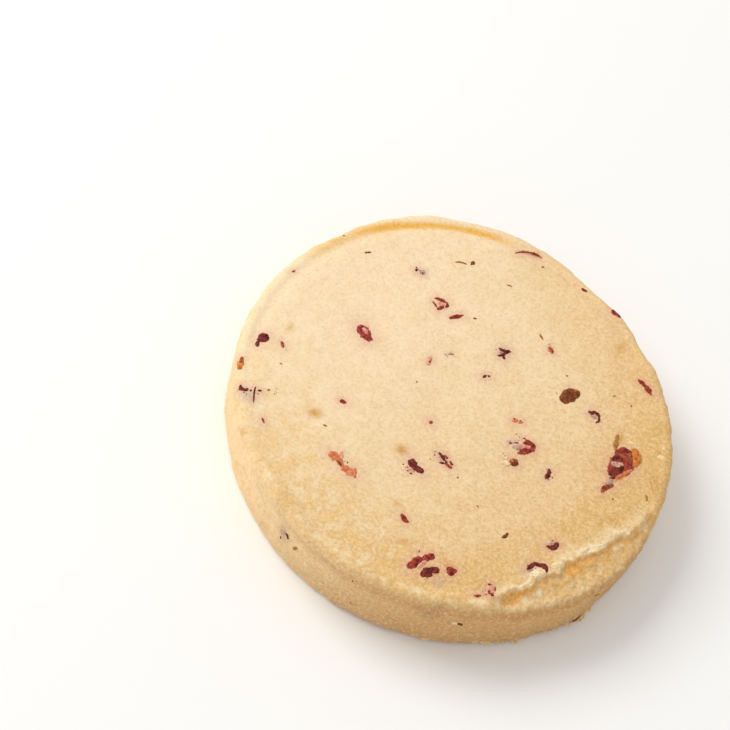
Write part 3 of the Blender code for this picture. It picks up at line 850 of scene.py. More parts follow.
@dataclass(frozen=True)
class BakeAndShadePaint:
    """How far each part of the surface is baked, broken or pale, and how much painted light and shade
    lies on it, from 0 to 1.

    Directions are in degrees. A pair is where a value starts and ends: as a share of the radius or
    the thickness, as a length, as a direction, or as the cosine of an angle from the light or from the
    side that takes painted shade.
    """

    form: DoughForm
    # Painted light comes from the first direction; painted shade falls on the side at the second.
    light_from: float = 150.0
    shaded_side_from: float = -45.0
    # Painted shade across the top, darker away from the light, and rim browning painted darker on the
    # side turned from it.
    shade_power: float = 1.8
    toast_rim: Pair = (0.55, 0.95)
    toast_rim_amount: float = 0.38
    toast_lit: Pair = (0.20, 0.85)
    # Painted light on a brighter stretch of the rim: it clears browning and adds a golden tint.
    sunny: Span = Span(40.0, 25.0, 18.0)
    sunny_clears: float = 0.35
    sunny_gold: float = 0.10
    top_skin: float = 0.01 * MM
    wall_fade: Pair = (0.1, 1.1)
    wall_wander: Rough = Rough(0.25, 1.4 * MM)
    # At the step the wall's shaded tone reaches higher up the shoulder, as painted shade.
    wall_on_step: float = 0.35
    shaded_side_fade: Pair = (0.15, 1.0)
    # Painted shade at the foot of the wall, stronger on the side away from the light.
    foot_height: float = 0.7
    foot_amounts: Pair = (0.10, 0.50)
    foot_shaded_side: Pair = (-0.3, 0.8)
    # A painted highlight along the foot on the side towards the light, which also clears its browning.
    lit_foot: Span = Span(-135.0, 30.0, 12.0)
    lit_foot_clears: float = 0.8
    lit_foot_pale: float = 0.6
    lit_foot_heights: Pair = (0.3 * MM, 1.3 * MM)
    baked_height: float = 0.7 * MM
    # Painted shade in a band under the rim, on the side away from the light, higher at the step.
    under_rim_height: float = 0.80
    under_rim_on_step: float = 0.10
    under_rim_width: float = 0.9 * MM
    under_rim_shaded_side: Pair = (-0.1, 0.5)
    under_rim_amount: float = 0.35
    curd_front: Pair = (-115.0, 55.0)
    curd_front_band: Pair = (0.45, 0.90)
    curd_amounts: Pair = (0.12, 0.58)
    curd_band: Pair = (0.2, 0.8)
    high: Pair = (0.88, 0.94)
    gold_span: Span = Span(124.0, 24.0, 10.0)
    gold_left: Pair = (118.0, 142.0)
    gold_left_shift: float = 1.0 * MM
    gold_widths: Pair = (0.50, 0.45)
    gold_amounts: Pair = (1.15, 0.55)
    gold_even: float = 1.05
    gold_wander: Rough = Rough(0.35, 2.5 * MM)
    ridge_span: Span = Span(-92.0, 38.0, 12.0)
    ridge_width: float = 0.5 * MM
    ridge_even: float = 0.25
    ridge_spots: Rough = Rough(1.3, 1.0 * MM)
    # A painted highlight along the left edge, on the side towards the light.
    left_span: Span = Span(176.0, 16.0, 16.0)
    left_offset: float = 0.4 * MM
    left_width: float = 0.8 * MM
    left_amount: float = 0.5
    # Pale crumb with painted highlights, on the ridge, the step's lips, the left edge and the lit foot.
    pale_amount: float = 0.75
    lip_even: float = 0.85
    lip_spots: Rough = Rough(1.5, 1.5 * MM)
    lip_fine_spots: Rough = Rough(0.7, 0.6 * MM)
    lip_back: float = 0.50 * MM
    lip_width: float = 0.95 * MM
    lip_end: Pair = (-0.05 * MM, 0.25 * MM)
    lip_wall_clears: float = 0.8
    ledge_width: float = 0.60 * MM
    ledge_amount: float = 0.8
    brim_offset: float = 0.3 * MM
    brim_width: float = 0.5 * MM
    brim_amount: float = 0.3
    # Golden painted shade in the recess below the step's lip.
    amber_even: float = 0.75
    amber_wander: Rough = Rough(0.8, 3.1 * MM)
    amber_spots: Rough = Rough(0.8, 1.1 * MM)
    amber_start: Pair = (-64.0, -56.0)
    hollow_start: Pair = (-0.10 * MM, 0.20 * MM)
    hollow_end: Pair = (0.9 * MM, 2.3 * MM)

    def at(self, place: Vector) -> dict[str, float]:
        """Return the painted values of one point.

        Args:
            place: The point on the plain body.

        Returns:
            The values by the names of their paints.
        """
        form = self.form
        radius = math.hypot(place.x, place.y)
        angle = math.atan2(place.y, place.x)
        shaded_side = math.cos(angle - math.radians(self.shaded_side_from))
        rim = smooth(*self.toast_rim, radius / form.radius)
        sunny = self.sunny.share(angle) * rim
        wall = self._wall(place, angle)
        high = smooth(*self.high, place.z / form.thickness)
        lit_foot = self.lit_foot.share(angle)
        lips, hollow_shade = self._step(place, radius, angle, form.step_share(angle) * high)
        edges = self._highlighted_edges(place, radius, angle, wall)
        # Painted highlight: a pale line along the foot on the side towards the light.
        foot = self.lit_foot_pale * lit_foot * (1.0 - smooth(*self.lit_foot_heights, place.z))
        return {
            # Rim browning and painted shade, darker away from the light.
            "toast_and_shade": self._toast_and_shade(place, angle, rim, sunny),
            "wall": wall,
            # Painted shade on the wall's side away from the light.
            "shaded_side": smooth(*self.shaded_side_fade, shaded_side),
            # Painted shade at the foot of the wall.
            "foot": self._foot(place.z, shaded_side),
            "curd": self._curd(radius / form.radius, math.degrees(angle)) * (1.0 - wall),
            # The groove's golden line, and a golden tint of painted light on the brighter stretch of
            # the rim.
            "gold": max(
                high * self._gold(place, radius, angle), self.sunny_gold * sunny * (1.0 - wall)
            ),
            # Golden painted shade in the recess below the step's lip.
            "hollow_shade": hollow_shade,
            # Brown of the base edge, with painted shade under the rim.
            "baked": self._baked_and_shaded(place.z, angle, shaded_side, wall, lit_foot),
            # Pale crumb with painted highlights.
            "pale": self.pale_amount * max(edges, foot, lips * (1.0 - self.lip_wall_clears * wall)),
        }

    def _toast_and_shade(self, place: Vector, angle: float, rim: float, sunny: float) -> float:
        """Return how browned and shaded the top is: painted shade that darkens it away from the light,
        and a browned rim, darker on the side turned from the light.

        Args:
            place: The point on the plain body.
            angle: Its direction in radians.
            rim: How near the rim it is, from 0 to 1.
            sunny: How much of the stretch of the rim with painted light is there.

        Returns:
            The value.
        """
        light = math.radians(self.light_from)
        bright = (place.x * math.cos(light) + place.y * math.sin(light)) / self.form.radius
        turned_away = 1.0 - smooth(*self.toast_lit, math.cos(angle - light))
        turned_away *= 1.0 - self.sunny_clears * sunny
        # Painted shade: the top grows darker away from the light.
        plain = (0.5 - 0.5 * bright) ** self.shade_power
        return plain + self.toast_rim_amount * rim * turned_away

    def _wall(self, place: Vector, angle: float) -> float:
        """Return how much of the wall's colour a point has, reaching higher up the shoulder at the step
        as painted shade.

        Args:
            place: The point on the plain body.
            angle: Its direction in radians.

        Returns:
            The value: 0 on the top and 1 below the shoulder, with an uneven border.
        """
        form = self.form
        if place.z > form.thickness - self.top_skin:
            return 0.0
        # At the step the wall's tone, painted shade there, reaches higher.
        border = self.wall_wander.at(place) + self.wall_on_step * form.step_share(angle)
        return smooth(*self.wall_fade, (form.thickness - place.z) / form.shoulder_drop + border)

    def _foot(self, height: float, shaded_side: float) -> float:
        """Return the painted shade at the foot of the wall, darker near the floor and on the side away
        from the light.

        Args:
            height: Height above the floor.
            shaded_side: 1 on the side away from the light and -1 towards it.

        Returns:
            The value.
        """
        least, more = self.foot_amounts
        low = 1.0 - smooth(0.0, self.foot_height * self.form.thickness, height)
        return (least + more * smooth(*self.foot_shaded_side, shaded_side)) * low

    def _curd(self, share: float, direction: float) -> float:
        """Return how curdled the top looks, which is most along the front left.

        Args:
            share: Distance from the middle as a share of the radius.
            direction: Direction in degrees.

        Returns:
            The value.
        """
        middle, spread = self.curd_front
        least, more = self.curd_amounts
        front = bell(direction - middle, spread) * smooth(*self.curd_front_band, share)
        return (least + more * front) * smooth(*self.curd_band, share)

    def _gold(self, place: Vector, radius: float, angle: float) -> float:
        """Return how golden the groove is at the back, wider and fainter towards the left.

        Args:
            place: The point on the plain body.
            radius: Its distance from the middle.
            angle: Its direction in radians.

        Returns:
            The value.
        """
        left = smooth(*self.gold_left, math.degrees(angle))
        width, widens = self.gold_widths
        amount, fades = self.gold_amounts
        middle = self.form.groove_radius + self.gold_left_shift * left
        line = bell(radius - middle, (width + widens * left) * MM)
        gold = self.gold_even + self.gold_wander.at(place)
        return gold * self.gold_span.share(angle) * line * (amount - fades * left)

    def _baked_and_shaded(self, height: float, angle: float, shaded_side: float, wall: float, lit_foot: float) -> float:
        """Return how brown the base edge is, with painted shade in a band under the rim on the side
        away from the light, and less brown along the foot on the side towards the light.

        Args:
            height: Height above the floor.
            angle: Direction in radians.
            shaded_side: 1 on the side away from the light and -1 towards it.
            wall: How much of the wall's colour the point has.
            lit_foot: How much of the pale stretch of the foot is there.

        Returns:
            The value.
        """
        form = self.form
        base = 1.0 - smooth(0.0, self.baked_height, height)
        # Painted shade in a band under the rim.
        rim_share = self.under_rim_height + self.under_rim_on_step * form.step_share(angle)
        under_rim = bell(height - rim_share * form.thickness, self.under_rim_width) * wall
        under_rim *= self.under_rim_amount * smooth(*self.under_rim_shaded_side, shaded_side)
        return max(base * (1.0 - self.lit_foot_clears * lit_foot), under_rim)

    def _highlighted_edges(self, place: Vector, radius: float, angle: float, wall: float) -> float:
        """Return how pale the front ridge and the left edge are: pale crumb with painted highlights on
        the ridge's crest, and a painted highlight along the left edge, towards the light.

        Args:
            place: The point on the plain body.
            radius: Its distance from the middle.
            angle: Its direction in radians.
            wall: How much of the wall's colour it has.

        Returns:
            The value.
        """
        form = self.form
        spots = self.ridge_even + self.ridge_spots.at(place)
        crest = bell(radius - form.ridge_radius, self.ridge_width) * (1.0 - wall)
        ridge = self.ridge_span.share(angle) * crest * spots
        line = bell(radius - form.groove_radius - self.left_offset, self.left_width)
        return max(ridge, self.left_amount * self.left_span.share(angle) * line)

    def _step(self, place: Vector, radius: float, angle: float, broken: float) -> Pair:
        """Return how pale the step's lips are, with painted highlights, and how strong the golden
        painted shade is in the recess below the lip.

        Args:
            place: The point on the plain body.
            radius: Its distance from the middle.
            angle: Its direction in radians.
            broken: How much of the step is present.

        Returns:
            Both values.
        """
        if not broken:
            return 0.0, 0.0
        form = self.form
        lip, _, ledge = form.step_place(angle)
        beyond = radius - lip
        spots = self.lip_even + self.lip_spots.at(place) + self.lip_fine_spots.at(place)
        upper = bell(beyond + self.lip_back, self.lip_width) * (1.0 - smooth(*self.lip_end, beyond))
        lower = bell(radius - form.ledge_radius(angle), self.ledge_width) * self.ledge_amount * ledge
        brim = bell(radius - form.ridge_radius - self.brim_offset, self.brim_width)
        amber = self.amber_even + self.amber_wander.at(outwards(angle) * form.radius)
        amber += self.amber_spots.at(place)
        amber *= smooth(*self.amber_start, math.degrees(angle))
        # Golden painted shade just beyond the lip, in the recess under it.
        deep = smooth(*self.hollow_start, beyond) * (1.0 - smooth(*self.hollow_end, beyond))
        # Pale lips with painted highlights.
        pale = broken * spots * max(upper, lower, self.brim_amount * brim)
        return pale, broken * deep * amber * (1.0 - lower)


def deselect_everything() -> None:
    """Leave object mode with nothing selected."""
    if bpy.context.object and bpy.context.object.mode != "OBJECT":
        bpy.ops.object.mode_set(mode="OBJECT")
    bpy.ops.object.select_all(action="DESELECT")


def activate(piece: bpy.types.Object) -> None:
    """Make one object the only selected and active one.

    Args:
        piece: The object.
    """
    deselect_everything()
    piece.select_set(True)
    bpy.context.view_layer.objects.active = piece


def read_rows(items: bpy.types.bpy_prop_collection, name: str) -> np.ndarray:
    """Read one value of three numbers from each item of a mesh.

    Args:
        items: The mesh's items.
        name: The value's name.

    Returns:
        Rows of x, y and z.
    """
    flat = np.zeros(len(items) * 3, np.float32)
    items.foreach_get(name, flat)
    return flat.reshape(-1, 3).astype(np.float64)


def corners_of(mesh: bpy.types.Mesh) -> np.ndarray:
    """Return a mesh's corners as rows of x, y and z."""
    return read_rows(mesh.vertices, "co")


def place_corners(mesh: bpy.types.Mesh, corners: np.ndarray) -> None:
    """Give a mesh's corners new places."""
    mesh.vertices.foreach_set("co", corners.astype(np.float32).ravel())
    mesh.update()


def paint(mesh: bpy.types.Mesh, name: str, values: np.ndarray) -> None:
    """Keep one painted value from 0 to 1 for each corner of a mesh."""
    painted = mesh.attributes.new(name, "FLOAT", "POINT")
    painted.data.foreach_set("value", np.clip(values, 0.0, 1.0).astype(np.float32))


def select_where(
    piece: bpy.types.Object,
    kind: str,
    wanted: Callable[[bmesh.types.BMEdge | bmesh.types.BMFace], bool],
) -> None:
    """In edit mode, select the edges or faces that pass a test, and nothing else.

    Args:
        piece: The object in edit mode.
        kind: EDGE or FACE, as in Blender's own select modes.
        wanted: Tells whether an edge or a face is selected.
    """
    bpy.ops.mesh.select_mode(type=kind)
    bpy.ops.mesh.select_all(action="DESELECT")
    mesh = bmesh.from_edit_mesh(piece.data)
    for part in mesh.edges if kind == "EDGE" else mesh.faces:
        part.select = wanted(part)
    mesh.select_flush_mode()
    bmesh.update_edit_mesh(piece.data)


def finish_editing() -> None:
    """Turn the faces of the edited mesh outwards and go back to object mode."""
    bpy.ops.mesh.select_all(action="SELECT")
    bpy.ops.mesh.normals_make_consistent(inside=False)
    bpy.ops.object.mode_set(mode="OBJECT")


def join(
    pieces: Sequence[bpy.types.Object], name: str, material: bpy.types.Material
) -> bpy.types.Object:
    """Join objects into one named piece with one finish.

    Args:
        pieces: The objects, at least one.
        name: The name of the joined piece.
        material: Its finish.

    Returns:
        The joined piece.
    """
    activate(pieces[0])
    for piece in pieces:
        piece.select_set(True)
    bpy.ops.object.join()
    whole = bpy.context.view_layer.objects.active
    whole.name = name
    whole.data.name = name
    whole.data.materials.append(material)
    return whole


@dataclass(frozen=True)
class Ramp:
    """A range of values, from low to high, that a finish maps onto start to end."""

    low: float
    high: float
    start: float
    end: float


class Tree:
    """A node tree with short ways to add what the finishes use."""

    def __init__(self, tree: bpy.types.NodeTree) -> None:
        """Keep the tree."""
        self.tree = tree

    def put(self, node: bpy.types.Node, inputs: dict[str | int, object]) -> None:
        """Link or set a node's inputs.

        Args:
            node: The node.
            inputs: A socket or a plain value for each input, by its name or number.
        """
        for name, value in inputs.items():
            if isinstance(value, Socket):
                self.tree.links.new(value, node.inputs[name])
            else:
                node.inputs[name].default_value = value

    def add(self, kind: str, inputs: dict[str | int, object] | None = None) -> bpy.types.Node:
        """Add one node and link or set its inputs.

        Args:
            kind: Blender's name for this kind of node.
            inputs: A socket or a plain value for each input, by its name or number.

        Returns:
            The node.
        """
        node = self.tree.nodes.new(kind)
        self.put(node, inputs or {})
        return node

    def math(self, operation: str, first: object, second: object) -> Socket:
        """Work out one value from two.

        Args:
            operation: Blender's name for the operation.
            first: The first socket or number.
            second: The second socket or number.

        Returns:
            The socket of the result.
        """
        node = self.add("ShaderNodeMath", {0: first, 1: second})
        node.operation = operation
        return node.outputs[0]

    def spread(self, value: Socket, ramp: Ramp) -> Socket:
        """Map a value by a ramp, without going past its ends.

        Args:
            value: The socket of the value.
            ramp: The ramp.

        Returns:
            The socket of the result.
        """
        ends = {"From Min": ramp.low, "From Max": ramp.high, "To Min": ramp.start, "To Max": ramp.end}
        return self.add("ShaderNodeMapRange", {"Value": value, **ends}).outputs["Result"]


class Graph(Tree):
    """A material's node tree."""

    def __init__(self, name: str) -> None:
        """Start a material with its Principled shader.

        Args:
            name: The material's name.
        """
        self.material = bpy.data.materials.new(name)
        self.material.use_nodes = True
        super().__init__(self.material.node_tree)
        self.shader = self.tree.nodes["Principled BSDF"]

    def attribute(self, name: str) -> Socket:
        """Read a painted value of the mesh.

        Args:
            name: The value's name.

        Returns:
            The socket of the value.
        """
        node = self.add("ShaderNodeAttribute")
        node.attribute_name = name
        return node.outputs["Fac"]

    def mix(self, first: object, second: object, factor: object) -> Socket:
        """Mix two colours.

        Args:
            first: The socket or colour at factor 0.
            second: The socket or colour at factor 1.
            factor: A socket or a number, held between 0 and 1.

        Returns:
            The socket of the mixed colour.
        """
        node = self.add("ShaderNodeMix")
        node.data_type = "RGBA"
        node.clamp_factor = True
        self.put(node, {0: factor, 6: first, 7: second})
        return node.outputs[2]

    def effect(self, tree: bpy.types.NodeTree, **values: float) -> bpy.types.Node:
        """Place a shared effect, read at the object's own place.

        Args:
            tree: The effect's node group.
            **values: The group's other inputs, by name.

        Returns:
            The group node.
        """
        node = self.add("ShaderNodeGroup")
        node.node_tree = tree
        place = self.add("ShaderNodeTexCoord").outputs["Object"]
        named = {name.title(): value for name, value in values.items()}
        self.put(node, {"Place": place, **named})
        return node

    def surface(self, colour: object, roughness: float, gloss: float) -> None:
        """Set the shader's colour, roughness and specular level."""
        looks = {"Base Color": colour, "Roughness": roughness, "Specular IOR Level": gloss}
        self.put(self.shader, looks)

    def bump(self, height: Socket, strength: float, distance: float) -> None:
        """Raise the shaded surface by a height."""
        relief = {"Strength": strength, "Distance": distance, "Height": height}
        self.put(self.shader, {"Normal": self.add("ShaderNodeBump", relief).outputs["Normal"]})


class Effect(Tree):
    """A node group with a Place input, that more than one finish uses."""

    noise_roughness = 0.6

    def __init__(self, name: str, inputs: dict[str, float], outputs: Sequence[str]) -> None:
        """Start the group.

        Args:
            name: The group's name.
            inputs: Its number inputs, with their usual values.
            outputs: The names of its number outputs.
        """
        super().__init__(bpy.data.node_groups.new(name, "ShaderNodeTree"))
        sockets = self.tree.interface
        sockets.new_socket("Place", in_out="INPUT", socket_type="NodeSocketVector")
        for label, value in inputs.items():
            socket = sockets.new_socket(label, in_out="INPUT", socket_type="NodeSocketFloat")
            socket.default_value = value
        for label in outputs:
            sockets.new_socket(label, in_out="OUTPUT", socket_type="NodeSocketFloat")
        self.given = self.add("NodeGroupInput").outputs
        self.result = self.add("NodeGroupOutput")

    def noise(self, scale: Socket, detail: float) -> Socket:
        """Add a noise texture at the group's place.

        Args:
            scale: The socket of its scale.
            detail: How many finer layers it has.

        Returns:
            The socket of its value.
        """
        inputs = {
            "Vector": self.given["Place"],
            "Scale": scale,
            "Detail": detail,
            "Roughness": self.noise_roughness,
        }
        return self.add("ShaderNodeTexNoise", inputs).outputs["Fac"]


@dataclass(frozen=True)
class SandyGrain:
    """The fine sandy grain: grains, finer dust and scattered pin holes."""

    grain_share: float = 0.65
    grain_detail: float = 2.0
    dust_share: float = 0.35
    dust_detail: float = 1.0
    dust_scale: float = 2.7
    hole_scale: float = 0.22
    hole: Ramp = Ramp(0.05, 0.16, 1.0, 0.0)

    def tree(self) -> bpy.types.NodeTree:
        """Build the effect.

        Returns:
            Its node group.
        """
        group = Effect("sandy_grain", {"Scale": 3000.0, "Pits": 0.5}, ("Shade", "Height"))
        scale = group.given["Scale"]
        grains = group.noise(scale, self.grain_detail)
        dust = group.noise(group.math("MULTIPLY", scale, self.dust_scale), self.dust_detail)
        coarse = group.math("MULTIPLY", grains, self.grain_share)
        both = group.math("ADD", coarse, group.math("MULTIPLY", dust, self.dust_share))
        apart = group.math("MULTIPLY", scale, self.hole_scale)
        holes = group.add("ShaderNodeTexVoronoi", {"Vector": group.given["Place"], "Scale": apart})
        near = group.spread(holes.outputs["Distance"], self.hole)
        pits = group.math("MULTIPLY", near, group.given["Pits"])
        group.put(group.result, {"Shade": both, "Height": group.math("SUBTRACT", both, pits)})
        return group.tree


@dataclass(frozen=True)
class SoftMottling:
    """The broad soft mottling of a baked or dried surface."""

    middle: float = 0.5
    detail: float = 3.0

    def tree(self) -> bpy.types.NodeTree:
        """Build the effect.

        Returns:
            Its node group.
        """
        group = Effect("soft_mottling", {"Scale": 200.0, "Contrast": 1.0}, ("Mask",))
        cloud = group.noise(group.given["Scale"], self.detail)
        centred = group.math("SUBTRACT", cloud, self.middle)
        stronger = group.math("MULTIPLY", centred, group.given["Contrast"])
        lifted = group.math("ADD", stronger, self.middle)
        lifted.node.use_clamp = True
        group.put(group.result, {"Mask": lifted})
        return group.tree


class SharedEffects:
    """The node groups that more than one finish uses."""

    def __init__(self) -> None:
        """Build both groups once."""
        self.sandy = SandyGrain().tree()
        self.mottled = SoftMottling().tree()


@dataclass(frozen=True)
class DoughFinish:
    """Colours of the baked dough, from its pale crumb to its browned underside, with painted light and
    shade: a lit and a shaded wall, shade at the foot and under the rim, golden shade in the step's
    recess, browning darker away from the light, and pale highlights.

    A mottling is a scale and a contrast, and a ramp says how far it or a paint changes a colour.
    """

    top: Colour = srgb(247, 221, 181)
    # Browned tone, also the painted shade of the top away from the light.
    toasted_and_shaded: Colour = srgb(225, 182, 118)
    # The wall's tone on its side towards the light, then its painted shade on the side away from it.
    wall: Colour = srgb(252, 218, 166)
    shaded_side: Colour = srgb(212, 164, 104)
    # Darker tone at the foot: painted shade near the floor, and random darker mottling.
    foot: Colour = srgb(196, 153, 103)
    gold: Colour = srgb(236, 178, 74)
    curd: Colour = srgb(238, 196, 122)
    # Golden painted shade in the recess below the step's lip.
    hollow_shade: Colour = srgb(234, 172, 84)
    fat: Colour = srgb(208, 154, 72)
    pink: Colour = srgb(214, 150, 138)
    grey: Colour = srgb(176, 148, 146)
    # Grey-brown marks of the wall, partly juice halos and partly painted shade round a crack.
    stain: Colour = srgb(150, 118, 92)
    # Brown of the base edge, also the painted shade under the rim.
    baked: Colour = srgb(188, 132, 74)
    # Pale crumb and whey, also the painted highlights on the ridge, the lips, the left edge and the lit
    # foot.
    pale: Colour = srgb(250, 229, 186)
    shade: Colour = srgb(164, 122, 86)
    glint: Colour = srgb(255, 238, 200)
    roughness: float = 0.88
    gloss: float = 0.25
    grain_scale: float = 2300.0
    grain_pits: float = 0.12
    grain_depth: float = 0.07 * MM
    relief: float = 0.6
    broad_mottling: Pair = (170.0, 1.5)
    small_mottling: Pair = (750.0, 2.2)
    clots: Pair = (480.0, 3.0)
    broad_toast: Ramp = Ramp(0.2, 0.8, -0.10, 0.10)
    small_toast: Ramp = Ramp(0.2, 0.8, -0.09, 0.09)
    small_foot: Ramp = Ramp(0.55, 1.0, 0.0, 0.35)
    curd_clots: Ramp = Ramp(0.4, 0.9, 0.0, 0.8)
    pale_clots: Ramp = Ramp(0.1, 0.4, 0.6, 0.0)
    grain_on_toast: Ramp = Ramp(0.1, 0.8, 0.9, 1.45)
    dark_grain: Ramp = Ramp(0.28, 0.50, 0.30, 0.0)
    light_grain: Ramp = Ramp(0.50, 0.70, 0.0, 0.32)

    def material(self, effects: SharedEffects) -> bpy.types.Material:
        """Build the dough's material from its painted values and the shared effects.

        Args:
            effects: The shared node groups.

        Returns:
            The material.
        """
        graph = Graph("baked_dough")
        broad, small, clots = (
            graph.effect(effects.mottled, scale=scale, contrast=contrast).outputs["Mask"]
            for scale, contrast in (self.broad_mottling, self.small_mottling, self.clots)
        )
        # Browning with painted shade away from the light, and random mottling.
        toast_and_shade = graph.math("ADD", graph.attribute("toast_and_shade"), graph.spread(broad, self.broad_toast))
        toast_and_shade = graph.math("ADD", toast_and_shade, graph.spread(small, self.small_toast))
        colour = graph.mix(self.top, self.toasted_and_shaded, toast_and_shade)
        # The wall: its lit tone, painted shade away from the light and at the foot, and random darker
        # mottling.
        side = graph.mix(self.wall, self.shaded_side, graph.attribute("shaded_side"))
        side = graph.mix(side, self.foot, graph.attribute("foot"))
        side = graph.mix(side, self.foot, graph.spread(small, self.small_foot))
        colour = graph.mix(colour, side, graph.attribute("wall"))
        for tone, ramp in ((self.curd, self.curd_clots), (self.pale, self.pale_clots)):
            share = graph.math("MULTIPLY", graph.attribute("curd"), graph.spread(clots, ramp))
            colour = graph.mix(colour, tone, share)
        # Gold with painted light on the brighter rim, painted shade in the step's recess, fat, juice
        # stains, wall marks partly painted shade, the browned base with painted shade under the rim,
        # and pale crumb with painted highlights.
        for name in ("gold", "hollow_shade", "fat", "pink", "grey", "stain", "baked", "pale"):
            colour = graph.mix(colour, getattr(self, name), graph.attribute(name))
        sandy = graph.effect(effects.sandy, scale=self.grain_scale, pits=self.grain_pits)
        stronger = graph.spread(graph.attribute("toast_and_shade"), self.grain_on_toast)
        for tone, ramp in ((self.shade, self.dark_grain), (self.glint, self.light_grain)):
            share = graph.math("MULTIPLY", graph.spread(sandy.outputs["Shade"], ramp), stronger)
            colour = graph.mix(colour, tone, share)
        graph.surface(colour, self.roughness, self.gloss)
        graph.bump(graph.math("ADD", sandy.outputs["Height"], small), self.relief, self.grain_depth)
        return graph.material


@dataclass(frozen=True)
class ScrapFinish:
    """Colours and gloss of one kind of flake or crumb."""

    kind: Kind
    dark: Colour
    light: Colour
    rim: Colour
    roughness: float
    gloss: float = 0.15
    patch_scale: float = 2000.0
    patch_contrast: float = 3.0
    grain_scale: float = 4200.0
    grain_pits: float = 0.2
    grain_depth: float = 0.08 * MM
    relief: float = 0.6
    grain_tone: Ramp = Ramp(0.3, 0.7, -0.45, 0.45)
    rim_tone: Ramp = Ramp(0.70, 1.0, 0.0, 0.55)

    def material(self, effects: SharedEffects) -> bpy.types.Material:
        """Build the material: two tones in small patches, a paler rim and fine wrinkles.

        Args:
            effects: The shared node groups.

        Returns:
            The material.
        """
        graph = Graph(self.kind.value)
        patches = graph.effect(effects.mottled, scale=self.patch_scale, contrast=self.patch_contrast)
        grain = graph.effect(effects.sandy, scale=self.grain_scale, pits=self.grain_pits)
        speckle = graph.spread(grain.outputs["Shade"], self.grain_tone)
        tone = graph.math("ADD", patches.outputs["Mask"], speckle)
        rim = graph.spread(graph.attribute("edge"), self.rim_tone)
        colour = graph.mix(graph.mix(self.dark, self.light, tone), self.rim, rim)
        graph.surface(colour, self.roughness, self.gloss)
        graph.bump(grain.outputs["Height"], self.relief, self.grain_depth)
        return graph.material


SCRAP_FINISHES = (
    ScrapFinish(Kind.RUBY, srgb(114, 16, 30), srgb(186, 74, 72), srgb(212, 130, 110), 0.50),
    ScrapFinish(Kind.CRIMSON, srgb(106, 20, 22), srgb(178, 72, 56), srgb(208, 130, 100), 0.55),
    ScrapFinish(Kind.PLUM, srgb(62, 12, 14), srgb(142, 56, 46), srgb(170, 104, 84), 0.55),
    ScrapFinish(Kind.BRICK, srgb(116, 44, 22), srgb(176, 92, 54), srgb(212, 148, 100), 0.55),
    ScrapFinish(Kind.RUST, srgb(172, 82, 24), srgb(228, 144, 68), srgb(228, 162, 94), 0.50),
    ScrapFinish(Kind.SALMON, srgb(192, 92, 52), srgb(234, 154, 106), srgb(238, 182, 130), 0.60),
    ScrapFinish(Kind.PINK, srgb(204, 128, 106), srgb(236, 184, 150), srgb(236, 192, 150), 0.75),
    ScrapFinish(Kind.MAUVE, srgb(164, 126, 112), srgb(216, 184, 160), srgb(230, 198, 158), 0.75),
    ScrapFinish(Kind.COCOA, srgb(80, 34, 10), srgb(146, 80, 40), srgb(164, 106, 56), 0.60),
    ScrapFinish(Kind.TAN, srgb(146, 96, 48), srgb(188, 138, 80), srgb(212, 168, 110), 0.70),
    ScrapFinish(Kind.PALE, srgb(230, 198, 148), srgb(248, 228, 186), srgb(236, 206, 156), 0.90),
    ScrapFinish(Kind.EDGE, srgb(200, 162, 110), srgb(234, 204, 154), srgb(206, 170, 120), 0.88),
)


